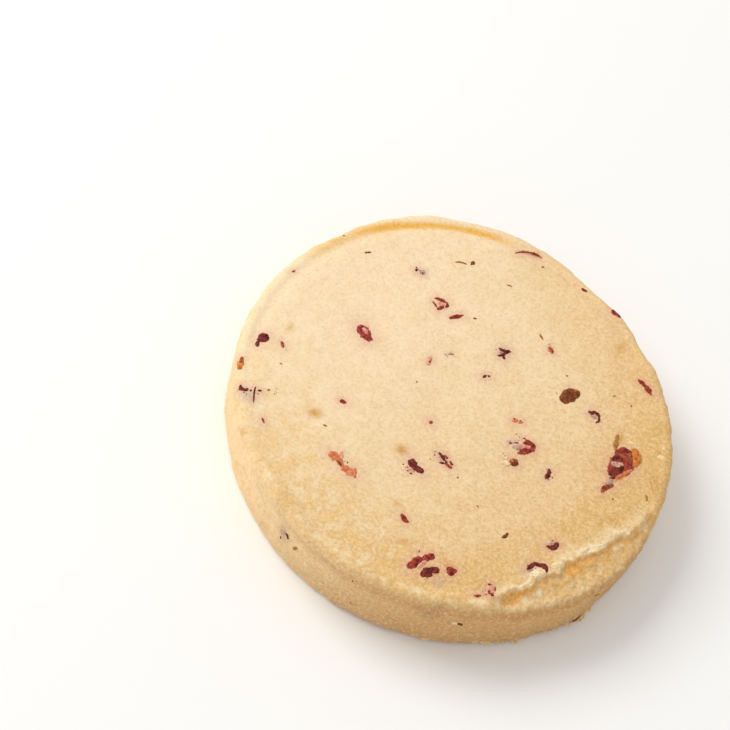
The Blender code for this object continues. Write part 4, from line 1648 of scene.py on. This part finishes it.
@dataclass
class BiscuitDough:
    """The dough: modelled as a fine block, rounded, shaped, crumbled and painted.

    The refined faces lie past the step's directions by a margin in degrees, above a number of
    shoulder heights below the top, and outside a share of the radius.
    """

    form: DoughForm
    grid_cuts: int = 200
    wall_cuts: int = 44
    base_steps: tuple[float, ...] = (0.86, 0.82, 0.75, 0.62, 0.45)
    refined_margin: float = 3.0
    refined_shoulders: float = 1.4
    refined_from: float = 0.815
    level_slack: float = 1e-4
    fray: Rough = Rough(0.50 * MM, 1.3 * MM)
    fine_fray: Rough = Rough(0.14 * MM, 0.6 * MM)
    stain_heights: Pair = (0.80, 0.95)
    halo_points: Pair = (-0.3, 0.3)
    halo_widen: float = 1.2
    halo_margin: float = 1.0
    halo_strength: float = 0.42
    piece: bpy.types.Object | None = field(default=None, init=False)
    plain: list[Vector] = field(default_factory=list, init=False)

    def build(self, material: bpy.types.Material) -> bpy.types.Object:
        """Model, shape and paint the dough.

        Args:
            material: The dough's finish.

        Returns:
            The finished object.
        """
        self.piece = self._block()
        self._round_off()
        self._refine_step()
        self._shape()
        self._crumble()
        self._paint_bake_and_shade()
        self._paint_stains()
        self.piece.data.materials.append(material)
        activate(self.piece)
        bpy.ops.object.shade_smooth()
        return self.piece

    def _block(self) -> bpy.types.Object:
        """Model a square block with a fine grid on top, rings down its wall and rings below.

        Returns:
            The block, on the floor.
        """
        top = self.form.thickness
        deselect_everything()
        bpy.ops.mesh.primitive_grid_add(
            x_subdivisions=self.grid_cuts,
            y_subdivisions=self.grid_cuts,
            size=2.0 * self.form.radius,
            location=(0.0, 0.0, top),
        )
        piece = bpy.context.object
        piece.name = "biscuit_dough"
        bpy.ops.object.transform_apply(location=True, rotation=True, scale=True)
        bpy.ops.object.mode_set(mode="EDIT")
        bpy.ops.mesh.select_all(action="SELECT")
        bpy.ops.mesh.extrude_region_move(TRANSFORM_OT_translate={"value": (0.0, 0.0, -top)})
        bpy.ops.mesh.delete(type="FACE")
        select_where(piece, "EDGE", lambda edge: edge.calc_length() > 0.5 * top)
        bpy.ops.mesh.subdivide(number_cuts=self.wall_cuts)
        select_where(piece, "EDGE", lambda edge: max(end.co.z for end in edge.verts) < 0.001 * MM)
        for share in self.base_steps:
            bpy.ops.mesh.extrude_edges_move()
            bpy.ops.transform.resize(value=(share, share, 1.0), center_override=(0.0, 0.0, 0.0))
        bpy.ops.mesh.merge(type="CENTER")
        finish_editing()
        return piece

    def _round_off(self) -> None:
        """Map the square block onto the plain round body."""
        form = self.form
        x, y, z = corners_of(self.piece.data).T
        span = np.maximum(np.abs(x), np.abs(y))
        wide = np.abs(x) >= np.abs(y)
        longer = np.where(wide, x, y)
        longer = np.where(span == 0.0, 1.0, longer)
        lean = 0.25 * np.pi * np.where(wide, y, x) / longer
        angle = np.where(wide, lean + np.where(x < 0.0, np.pi, 0.0), np.sign(y) * 0.5 * np.pi - lean)
        share = span / form.radius
        level = 1.0 - z / form.thickness
        top = level < self.level_slack
        base = level > 1.0 - self.level_slack
        walls = np.array([form.wall_profile(value) for value in np.clip(level, 0.0, 1.0)])
        radius = np.where(top, share * form.top_edge, walls[:, 0])
        radius = np.where(base, share * form.base_edge, radius)
        height = np.where(top, form.thickness, np.where(base, 0.0, walls[:, 1]))
        round_body = np.stack([radius * np.cos(angle), radius * np.sin(angle), height], 1)
        place_corners(self.piece.data, round_body)

    def _near_step(self, face: bmesh.types.BMFace) -> bool:
        """Tell whether a face of the plain body lies along the crumbled step.

        Args:
            face: The face.

        Returns:
            True where it does.
        """
        middle = face.calc_center_median()
        direction = math.degrees(math.atan2(middle.y, middle.x))
        start = self.form.step_start[0] - self.refined_margin
        low = self.form.thickness - self.refined_shoulders * self.form.shoulder_drop
        outer = middle.xy.length > self.refined_from * self.form.radius
        return start < direction < self.form.step_end[1] and middle.z > low and outer

    def _refine_step(self) -> None:
        """Subdivide the faces along the crumbled step, where the form is finest."""
        activate(self.piece)
        bpy.ops.object.mode_set(mode="EDIT")
        select_where(self.piece, "FACE", self._near_step)
        bpy.ops.mesh.subdivide(number_cuts=1)
        bpy.ops.object.mode_set(mode="OBJECT")

    def _shape(self) -> None:
        """Give the round body its outline, swell, groove, ridge, step and uneven wall."""
        self.plain = [Vector(corner) for corner in corners_of(self.piece.data)]
        moved = []
        for place in self.plain:
            frays = place.x > 0.0 and place.z > 0.5 * self.form.thickness
            fray = self.fray.at(place) + self.fine_fray.at(place) if frays else 0.0
            moved.append(self.form.shaped(place, fray))
        place_corners(self.piece.data, np.array(moved))

    def _crumble(self) -> None:
        """Push the surface in and out along its normals for the crumb that shows."""
        mesh = self.piece.data
        relief = CrumbRelief(self.form)
        corners = corners_of(mesh)
        offsets = [
            relief.at(plain, Vector(corner)) if plain.z >= 0.01 * MM else 0.0
            for plain, corner in zip(self.plain, corners)
        ]
        corners += read_rows(mesh.vertex_normals, "vector") * np.array(offsets)[:, None]
        corners[:, 2] = np.maximum(corners[:, 2], BASE_GAP)
        place_corners(mesh, corners)

    def _paint_bake_and_shade(self) -> None:
        """Paint how far each part of the surface is baked, broken or pale, and its painted light and
        shade.
        """
        bake_and_shade = BakeAndShadePaint(self.form)
        points = [bake_and_shade.at(place) for place in self.plain]
        for name in points[0]:
            paint(self.piece.data, name, np.array([point[name] for point in points]))

    def _halos(self) -> list[Spot]:
        """Work out a faint juice stain round two points of each red flake.

        Returns:
            The stains.
        """
        halos = []
        for kind in (Kind.RUBY, Kind.CRIMSON, Kind.PLUM, Kind.BRICK, Kind.SALMON):
            for flake in TOP_FLAKES[kind]:
                size = self.halo_widen * flake.width + self.halo_margin
                for share in self.halo_points:
                    x, y, _ = flake.line(share)
                    halos.append(Spot(x / MM, y / MM, size, size, self.halo_strength))
        return halos

    def _paint_stains(self) -> None:
        """Paint the fat spots, the juice stains and the grey-brown marks of the wall, one of them
        painted shade round a crack.
        """
        form = self.form
        x, y, z = corners_of(self.piece.data).T
        plain = np.array(self.plain)
        top = np.interp(plain[:, 2] / form.thickness, self.stain_heights, (0.0, 1.0))
        wall = (np.hypot(plain[:, 0], plain[:, 1]) > form.top_edge).astype(np.float64)
        seen_from_above = np.stack([x, y], 1)
        round_the_rim = np.stack([np.arctan2(y, x) * form.radius, z], 1)
        for name, spots, flat, shown in (
            ("fat", FAT_SPOTS, seen_from_above, top),
            ("pink", (*PINK_SPOTS, *self._halos()), seen_from_above, top),
            ("grey", GREY_SPOTS, seen_from_above, top),
            ("stain", WALL_MARKS, round_the_rim, wall),
        ):
            strongest = np.max([spot.shares(flat) for spot in spots], axis=0)
            paint(self.piece.data, name, strongest * shown)


class Ground:
    """A side of the dough that flakes are laid on, with its own flat coordinates in metres."""

    def __init__(self, tree: BVHTree, form: DoughForm) -> None:
        """Keep the dough's surface and its form."""
        self.tree = tree
        self.form = form

    def ray(self, x: float, y: float) -> tuple[Vector, Vector]:
        """Return the start and the aim of the ray that finds a flat place on this side."""
        raise NotImplementedError

    def at(self, x: float, y: float) -> tuple[Vector, Vector]:
        """Return the place on the surface and the direction that stands away from it.

        Args:
            x: First flat coordinate.
            y: Second flat coordinate.

        Returns:
            The place and the direction.
        """
        start, aim = self.ray(x, y)
        place = self.tree.ray_cast(start, aim)[0]
        if place is None:
            place = self.tree.find_nearest(start + aim * self.form.radius)[0]
        return place, -aim


class TopGround(Ground):
    """The top, seen from above."""

    def ray(self, x: float, y: float) -> tuple[Vector, Vector]:
        """Aim straight down."""
        return Vector((x, y, self.form.thickness + self.form.radius)), Vector((0.0, 0.0, -1.0))


class BaseGround(Ground):
    """The underside."""

    def ray(self, x: float, y: float) -> tuple[Vector, Vector]:
        """Aim straight up."""
        return Vector((x, y, -self.form.radius)), Vector((0.0, 0.0, 1.0))


class WallGround(Ground):
    """The wall: x runs round the rim from the +X direction and y is the height."""

    def ray(self, x: float, y: float) -> tuple[Vector, Vector]:
        """Aim level at the middle."""
        away = outwards(x / self.form.radius)
        return away * 2.0 * self.form.radius + Vector((0.0, 0.0, y)), -away


@dataclass
class Scraps:
    """The flakes, laid on the dough and joined into one piece for each kind.

    Sizes are in mm. Each wrinkle moves a flake's corners sideways: an amount and a size.
    """

    form: DoughForm
    dough: bpy.types.Object
    column: float = 0.12
    columns: tuple[int, int] = (4, 28)
    rows: tuple[int, int] = (3, 14)
    swell: float = 1.12
    widen: float = 0.06
    thinnest: float = 0.10
    end_power: float = 2.6
    end_least: float = 0.10
    width_rough: float = 0.45
    width_patch: float = 0.7
    stiff: float = 0.35
    wrinkles: tuple[Pair, ...] = ((0.13, 0.34), (0.07, 0.15))
    wrinkle_seed: int = 1
    skin: float = 0.05
    crown: float = 0.10
    pucker: float = 0.05
    pucker_size: float = 0.26
    rooted: float = 0.30
    speck_seed: int = 7
    speck_reach: float = 0.4
    speck_lengths: Pair = (0.10, 0.30)
    speck_bend: float = 40.0
    speck_lift: float = -0.03
    unseen_kinds: tuple[Kind, ...] = (Kind.CRIMSON, Kind.PLUM, Kind.BRICK, Kind.RUBY, Kind.RUST)
    unseen_seed: int = 41
    unseen_lengths: Pair = (0.8, 2.4)
    unseen_widths: Pair = (0.35, 0.70)
    unseen_bend: float = 70.0
    back_count: int = 11
    back_start: float = 16.0
    back_span: float = 148.0
    back_stagger: Pair = (0.2, 0.8)
    back_heights: Pair = (2.0, 8.6)
    under_count: int = 26
    under_reach: float = 0.93
    under_lift: float = -0.16
    blanks: dict[tuple[int, int], bpy.types.Mesh] = field(default_factory=dict, init=False)

    def __post_init__(self) -> None:
        """Find the dough's surface and start a list of flakes for each kind."""
        noise.seed_set(self.wrinkle_seed)
        mesh = bmesh.new()
        mesh.from_mesh(self.dough.data)
        tree = BVHTree.FromBMesh(mesh)
        mesh.free()
        self.top = TopGround(tree, self.form)
        self.base = BaseGround(tree, self.form)
        self.wall = WallGround(tree, self.form)
        self.made: dict[Kind, list[bpy.types.Object]] = {kind: [] for kind in TOP_FLAKES}

    def _blank(self, columns: int, rows: int) -> bpy.types.Mesh:
        """Return a unit slab, modelled once for each number of faces.

        Args:
            columns: Faces along it.
            rows: Faces across it.

        Returns:
            Its mesh, with the top at 0 and the underside at -1.
        """
        if (columns, rows) not in self.blanks:
            deselect_everything()
            bpy.ops.mesh.primitive_grid_add(x_subdivisions=columns, y_subdivisions=rows, size=1.0)
            piece = bpy.context.object
            bpy.ops.object.mode_set(mode="EDIT")
            bpy.ops.mesh.select_all(action="SELECT")
            bpy.ops.mesh.extrude_region_move(TRANSFORM_OT_translate={"value": (0.0, 0.0, -1.0)})
            finish_editing()
            bpy.ops.object.shade_smooth()
            self.blanks[columns, rows] = piece.data
            bpy.data.objects.remove(piece)
        return self.blanks[columns, rows]

    def _corner(self, flake: Flake, ground: Ground, corner: Sequence[float], edge: float) -> Vector:
        """Return where one corner of a flake's blank comes to lie.

        Args:
            flake: The flake.
            ground: The side that it lies on.
            corner: The corner's place along, across and in height on the blank.
            edge: How near the flake's edge it is, from 0 to 1.

        Returns:
            The place.
        """
        share, side, level = corner
        x, y, heading = flake.line(share)
        ends = math.sqrt(max(1.0 - abs(2.0 * share) ** self.end_power, self.end_least))
        patch = noise.noise(Vector((x, y, flake.length * MM)) / (self.width_patch * MM))
        uneven = ends * (1.0 + self.width_rough * patch)
        width = max((flake.width * self.swell + self.widen) * uneven, self.thinnest)
        x -= math.sin(heading) * side * width * MM
        y += math.cos(heading) * side * width * MM
        spot = Vector((x, y, flake.lift * MM)) / MM
        loose = min(1.0, self.stiff + width)
        moves = [noise.noise_vector(spot / size) * amount for amount, size in self.wrinkles]
        wander = sum(moves, Vector()) * loose * MM
        place, away = ground.at(x + wander.x, y + wander.y)
        if level < -0.5:
            return place + away * (flake.lift - self.rooted) * MM
        rise = (self.skin + self.crown * loose) * (1.0 - edge**2)
        rise += self.pucker * loose * noise.noise(spot / self.pucker_size)
        return place + away * (flake.lift + rise) * MM

    def _lay(self, kind: Kind, flake: Flake, ground: Ground) -> None:
        """Lay one flake along its middle line on one side of the dough.

        Args:
            kind: The flake's kind.
            flake: Its place, size and bend.
            ground: The side that it lies on.
        """
        columns = int(np.clip(flake.length / self.column, *self.columns))
        rows = int(np.clip(flake.width / self.column, *self.rows))
        mesh = self._blank(columns, rows).copy()
        flat = corners_of(mesh)
        edges = np.maximum(np.abs(2.0 * flat[:, 1]), np.abs(2.0 * flat[:, 0]) ** 3)
        laid = [self._corner(flake, ground, corner, edge) for corner, edge in zip(flat, edges)]
        place_corners(mesh, np.array(laid))
        paint(mesh, "edge", edges)
        piece = bpy.data.objects.new("flake", mesh)
        bpy.context.scene.collection.objects.link(piece)
        self.made[kind].append(piece)

    def _specks(self) -> None:
        """Scatter specks of berry dust, densest in the middle of each cloud."""
        draw = random.Random(self.speck_seed)
        for cloud in DUST:
            for number in range(cloud.count):
                x = draw.gauss(cloud.x, self.speck_reach * cloud.reach)
                y = draw.gauss(cloud.y, self.speck_reach * cloud.reach)
                length = draw.uniform(*self.speck_lengths)
                turn = draw.uniform(0.0, 180.0)
                speck = Flake(x, y, length, 0.5 * length, turn, self.speck_bend, self.speck_lift)
                self._lay(cloud.kind if number % 3 == 0 else Kind.MAUVE, speck, self.top)

    def _unseen_shape(self, draw: random.Random) -> tuple[float, float, float, float]:
        """Draw a flake's length, width, turn and bend.

        Args:
            draw: Where the random numbers come from.

        Returns:
            The four values, in the order of a flake's own fields.
        """
        length = draw.uniform(*self.unseen_lengths)
        width = length * draw.uniform(*self.unseen_widths)
        turn = draw.uniform(0.0, 180.0)
        return length, width, turn, draw.uniform(-self.unseen_bend, self.unseen_bend)

    def _unseen_sides(self) -> None:
        """Spread flakes over the back of the wall, and over the underside in a spiral."""
        draw = random.Random(self.unseen_seed)
        golden_angle = math.pi * (3.0 - math.sqrt(5.0))
        for number in range(self.back_count + self.under_count):
            kind = self.unseen_kinds[number % len(self.unseen_kinds)]
            shape = self._unseen_shape(draw)
            if number < self.back_count:
                share = (number + draw.uniform(*self.back_stagger)) / self.back_count
                direction = math.radians(self.back_start + share * self.back_span)
                x = direction * self.form.radius / MM
                self._lay(kind, Flake(x, draw.uniform(*self.back_heights), *shape), self.wall)
            else:
                spread = math.sqrt((number - self.back_count + 0.5) / self.under_count)
                radius = self.under_reach * self.form.base_edge * spread / MM
                x, y, _ = outwards(number * golden_angle) * radius
                self._lay(kind, Flake(x, y, *shape, self.under_lift), self.base)

    def build(self, materials: dict[Kind, bpy.types.Material]) -> list[bpy.types.Object]:
        """Lay every flake and join each kind into one piece.

        Args:
            materials: The finish of each kind.

        Returns:
            One object for each kind.
        """
        for table, ground in ((TOP_FLAKES, self.top), (WALL_FLAKES, self.wall)):
            for kind, flakes in table.items():
                for flake in flakes:
                    self._lay(kind, flake, ground)
        self._specks()
        self._unseen_sides()
        joined = [join(made, kind.value, materials[kind]) for kind, made in self.made.items()]
        for blank in self.blanks.values():
            bpy.data.meshes.remove(blank)
        return joined


@dataclass(frozen=True)
class Lump:
    """A crumb pressed on the lower edge: direction in degrees, height and size in mm."""

    direction: float
    height: float
    size: float


LUMPS = (
    Lump(-62.0, 1.3, 1.1),
    Lump(-59.0, 1.1, 1.9),
    Lump(-55.0, 1.0, 1.6),
    Lump(-51.5, 0.9, 1.8),
    Lump(-48.5, 0.9, 1.1),
    Lump(-43.0, 0.9, 1.0),
    Lump(-40.0, 0.9, 1.4),
    Lump(-37.0, 1.1, 1.3),
    Lump(-33.5, 1.3, 2.1),
    Lump(-31.0, 1.7, 1.5),
    Lump(-75.0, 0.9, 1.3),
    Lump(-84.0, 0.8, 1.0),
)


@dataclass
class EdgeCrumbs:
    """Small lumps of dough along the lower edge, in one piece."""

    ground: Ground
    flatness: float = 0.55
    sunk: float = 0.62
    fineness: int = 4
    rough: Rough = Rough(0.35, 0.7 * MM)
    fine: Rough = Rough(0.16, 0.3 * MM)

    def _crumb(self, lump: Lump) -> bpy.types.Object:
        """Model one crumb, pressed into the wall.

        Args:
            lump: Its place and size.

        Returns:
            The crumb.
        """
        around = math.radians(lump.direction) * self.ground.form.radius
        place, away = self.ground.at(around, lump.height * MM)
        size = 0.5 * lump.size * MM
        middle = place - away * size * self.sunk
        deselect_everything()
        bpy.ops.mesh.primitive_ico_sphere_add(subdivisions=self.fineness, radius=size)
        piece = bpy.context.object
        for vertex in piece.data.vertices:
            local = vertex.co.copy()
            local *= 1.0 + self.rough.at(place + local) + self.fine.at(place + local)
            local.z *= self.flatness
            vertex.co = middle + local
            vertex.co.z = max(vertex.co.z, BASE_GAP)
        bpy.ops.object.shade_smooth()
        return piece

    def build(self, material: bpy.types.Material) -> bpy.types.Object:
        """Model the crumbs and join them."""
        return join([self._crumb(lump) for lump in LUMPS], "edge_crumbs", material)


@dataclass(frozen=True)
class Lamp:
    """A square soft light: its place from the biscuit, size and power."""

    name: str
    place: tuple[float, float, float]
    size: float
    power: float
    colour: tuple[float, float, float] = (1.0, 0.985, 0.96)

    def build(self) -> None:
        """Add the light, facing the biscuit."""
        data = bpy.data.lights.new(self.name, "AREA")
        data.shape = "SQUARE"
        data.size = self.size
        data.energy = self.power
        data.color = self.colour
        light = bpy.data.objects.new(self.name, data)
        bpy.context.scene.collection.objects.link(light)
        light.location = self.place
        light.rotation_mode = "QUATERNION"
        light.rotation_quaternion = (-Vector(self.place)).to_track_quat("-Z", "Y")


@dataclass(frozen=True)
class Studio:
    """The pale floor, the soft light and the camera at the photograph's angle.

    The middle column and row are where the biscuit's middle stands in a square picture.
    """

    elevation: float = 57.04
    roll: float = -22.79
    distance_in_radii: float = 14.0
    pixels_per_radius: float = 221.8
    middle_column: float = 439.4
    middle_row: float = 447.4
    frame_pixels: float = 730.0
    sensor: float = 36.0
    clip: Pair = (0.01, 20.0)
    key_azimuth: float = 165.0
    key_elevation: float = 46.0
    key_distance: float = 0.80
    key_size: float = 0.45
    key_power: float = 3.6
    fill: Lamp = Lamp("fill", (0.25, -0.70, 0.55), 0.60, 0.5)
    surround: float = 0.635
    surround_colour: Colour = (1.0, 0.995, 0.985, 1.0)
    floor_size: float = 8.0
    floor_colour: Colour = (0.95, 0.948, 0.94, 1.0)
    floor_roughness: float = 0.9
    floor_gloss: float = 0.1

    def camera(self, form: DoughForm) -> None:
        """Add the camera, rolled as in the photograph and aimed so that the framing matches.

        Args:
            form: The biscuit's form, for its radius.
        """
        lift = math.radians(self.elevation)
        back = Vector((0.0, -math.cos(lift), math.sin(lift)))
        level = Vector((1.0, 0.0, 0.0))
        upright = Vector((0.0, math.sin(lift), math.cos(lift)))
        turn = math.radians(self.roll)
        right = level * math.cos(turn) - upright * math.sin(turn)
        up = level * math.sin(turn) + upright * math.cos(turn)
        focal = self.pixels_per_radius * self.distance_in_radii
        across = (self.middle_column - 0.5 * self.frame_pixels) / focal
        above = (0.5 * self.frame_pixels - self.middle_row) / focal
        behind = (back + right * across + up * above).normalized()
        right = (right - behind * right.dot(behind)).normalized()
        turned = Matrix((right, behind.cross(right), behind)).transposed().to_4x4()
        data = bpy.data.cameras.new("camera")
        data.sensor_width = self.sensor
        data.lens = self.sensor * focal / self.frame_pixels
        data.clip_start, data.clip_end = self.clip
        camera = bpy.data.objects.new("camera", data)
        bpy.context.scene.collection.objects.link(camera)
        camera.matrix_world = Matrix.Translation(back * self.distance_in_radii * form.radius) @ turned
        bpy.context.scene.camera = camera

    def lights(self) -> None:
        """Add the key light from the upper left, a weak fill, and an even pale surround."""
        azimuth = math.radians(self.key_azimuth)
        lift = math.radians(self.key_elevation)
        level = math.cos(lift)
        aim = Vector((level * math.cos(azimuth), level * math.sin(azimuth), math.sin(lift)))
        Lamp("key", tuple(aim * self.key_distance), self.key_size, self.key_power).build()
        self.fill.build()
        world = bpy.data.worlds.new("surround")
        bpy.context.scene.world = world
        world.use_nodes = True
        background = world.node_tree.nodes["Background"]
        background.inputs["Color"].default_value = self.surround_colour
        background.inputs["Strength"].default_value = self.surround

    def floor(self) -> None:
        """Add the plain pale floor."""
        deselect_everything()
        bpy.ops.mesh.primitive_plane_add(size=self.floor_size, location=(0.0, 0.0, 0.0))
        floor = bpy.context.object
        floor.name = "pale_floor"
        graph = Graph("pale_floor")
        graph.surface(self.floor_colour, self.floor_roughness, self.floor_gloss)
        floor.data.materials.append(graph.material)

    def build(self, form: DoughForm) -> None:
        """Add the floor, the lights and the camera, with plain display colours.

        Args:
            form: The biscuit's form, for its radius.
        """
        self.floor()
        self.lights()
        self.camera(form)
        bpy.context.scene.view_settings.view_transform = "Standard"
        bpy.context.scene.view_settings.look = "None"


def main() -> None:
    """Build the biscuit's looks around the imported solid and report each piece."""
    logging.basicConfig(level=logging.INFO, format="%(message)s")
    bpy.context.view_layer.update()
    form = DoughForm.from_box(*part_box(NODE))
    LOG.info("radius %.2f mm, thickness %.2f mm", form.radius / MM, form.thickness / MM)
    effects = SharedEffects()
    materials = {finish.kind: finish.material(effects) for finish in SCRAP_FINISHES}

    dough = BiscuitDough(form).build(DoughFinish().material(effects))
    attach(dough, BODY)
    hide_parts(NODE)
    LOG.info("%s: %d faces", dough.name, len(dough.data.polygons))

    scraps = Scraps(form, dough)
    pieces = scraps.build(materials)
    pieces.append(EdgeCrumbs(scraps.wall).build(materials[Kind.EDGE]))
    for piece in pieces:
        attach(piece, BODY)
        LOG.info("%s: %d faces", piece.name, len(piece.data.polygons))

    Studio().build(form)


if __name__ == "__main__":
    main()
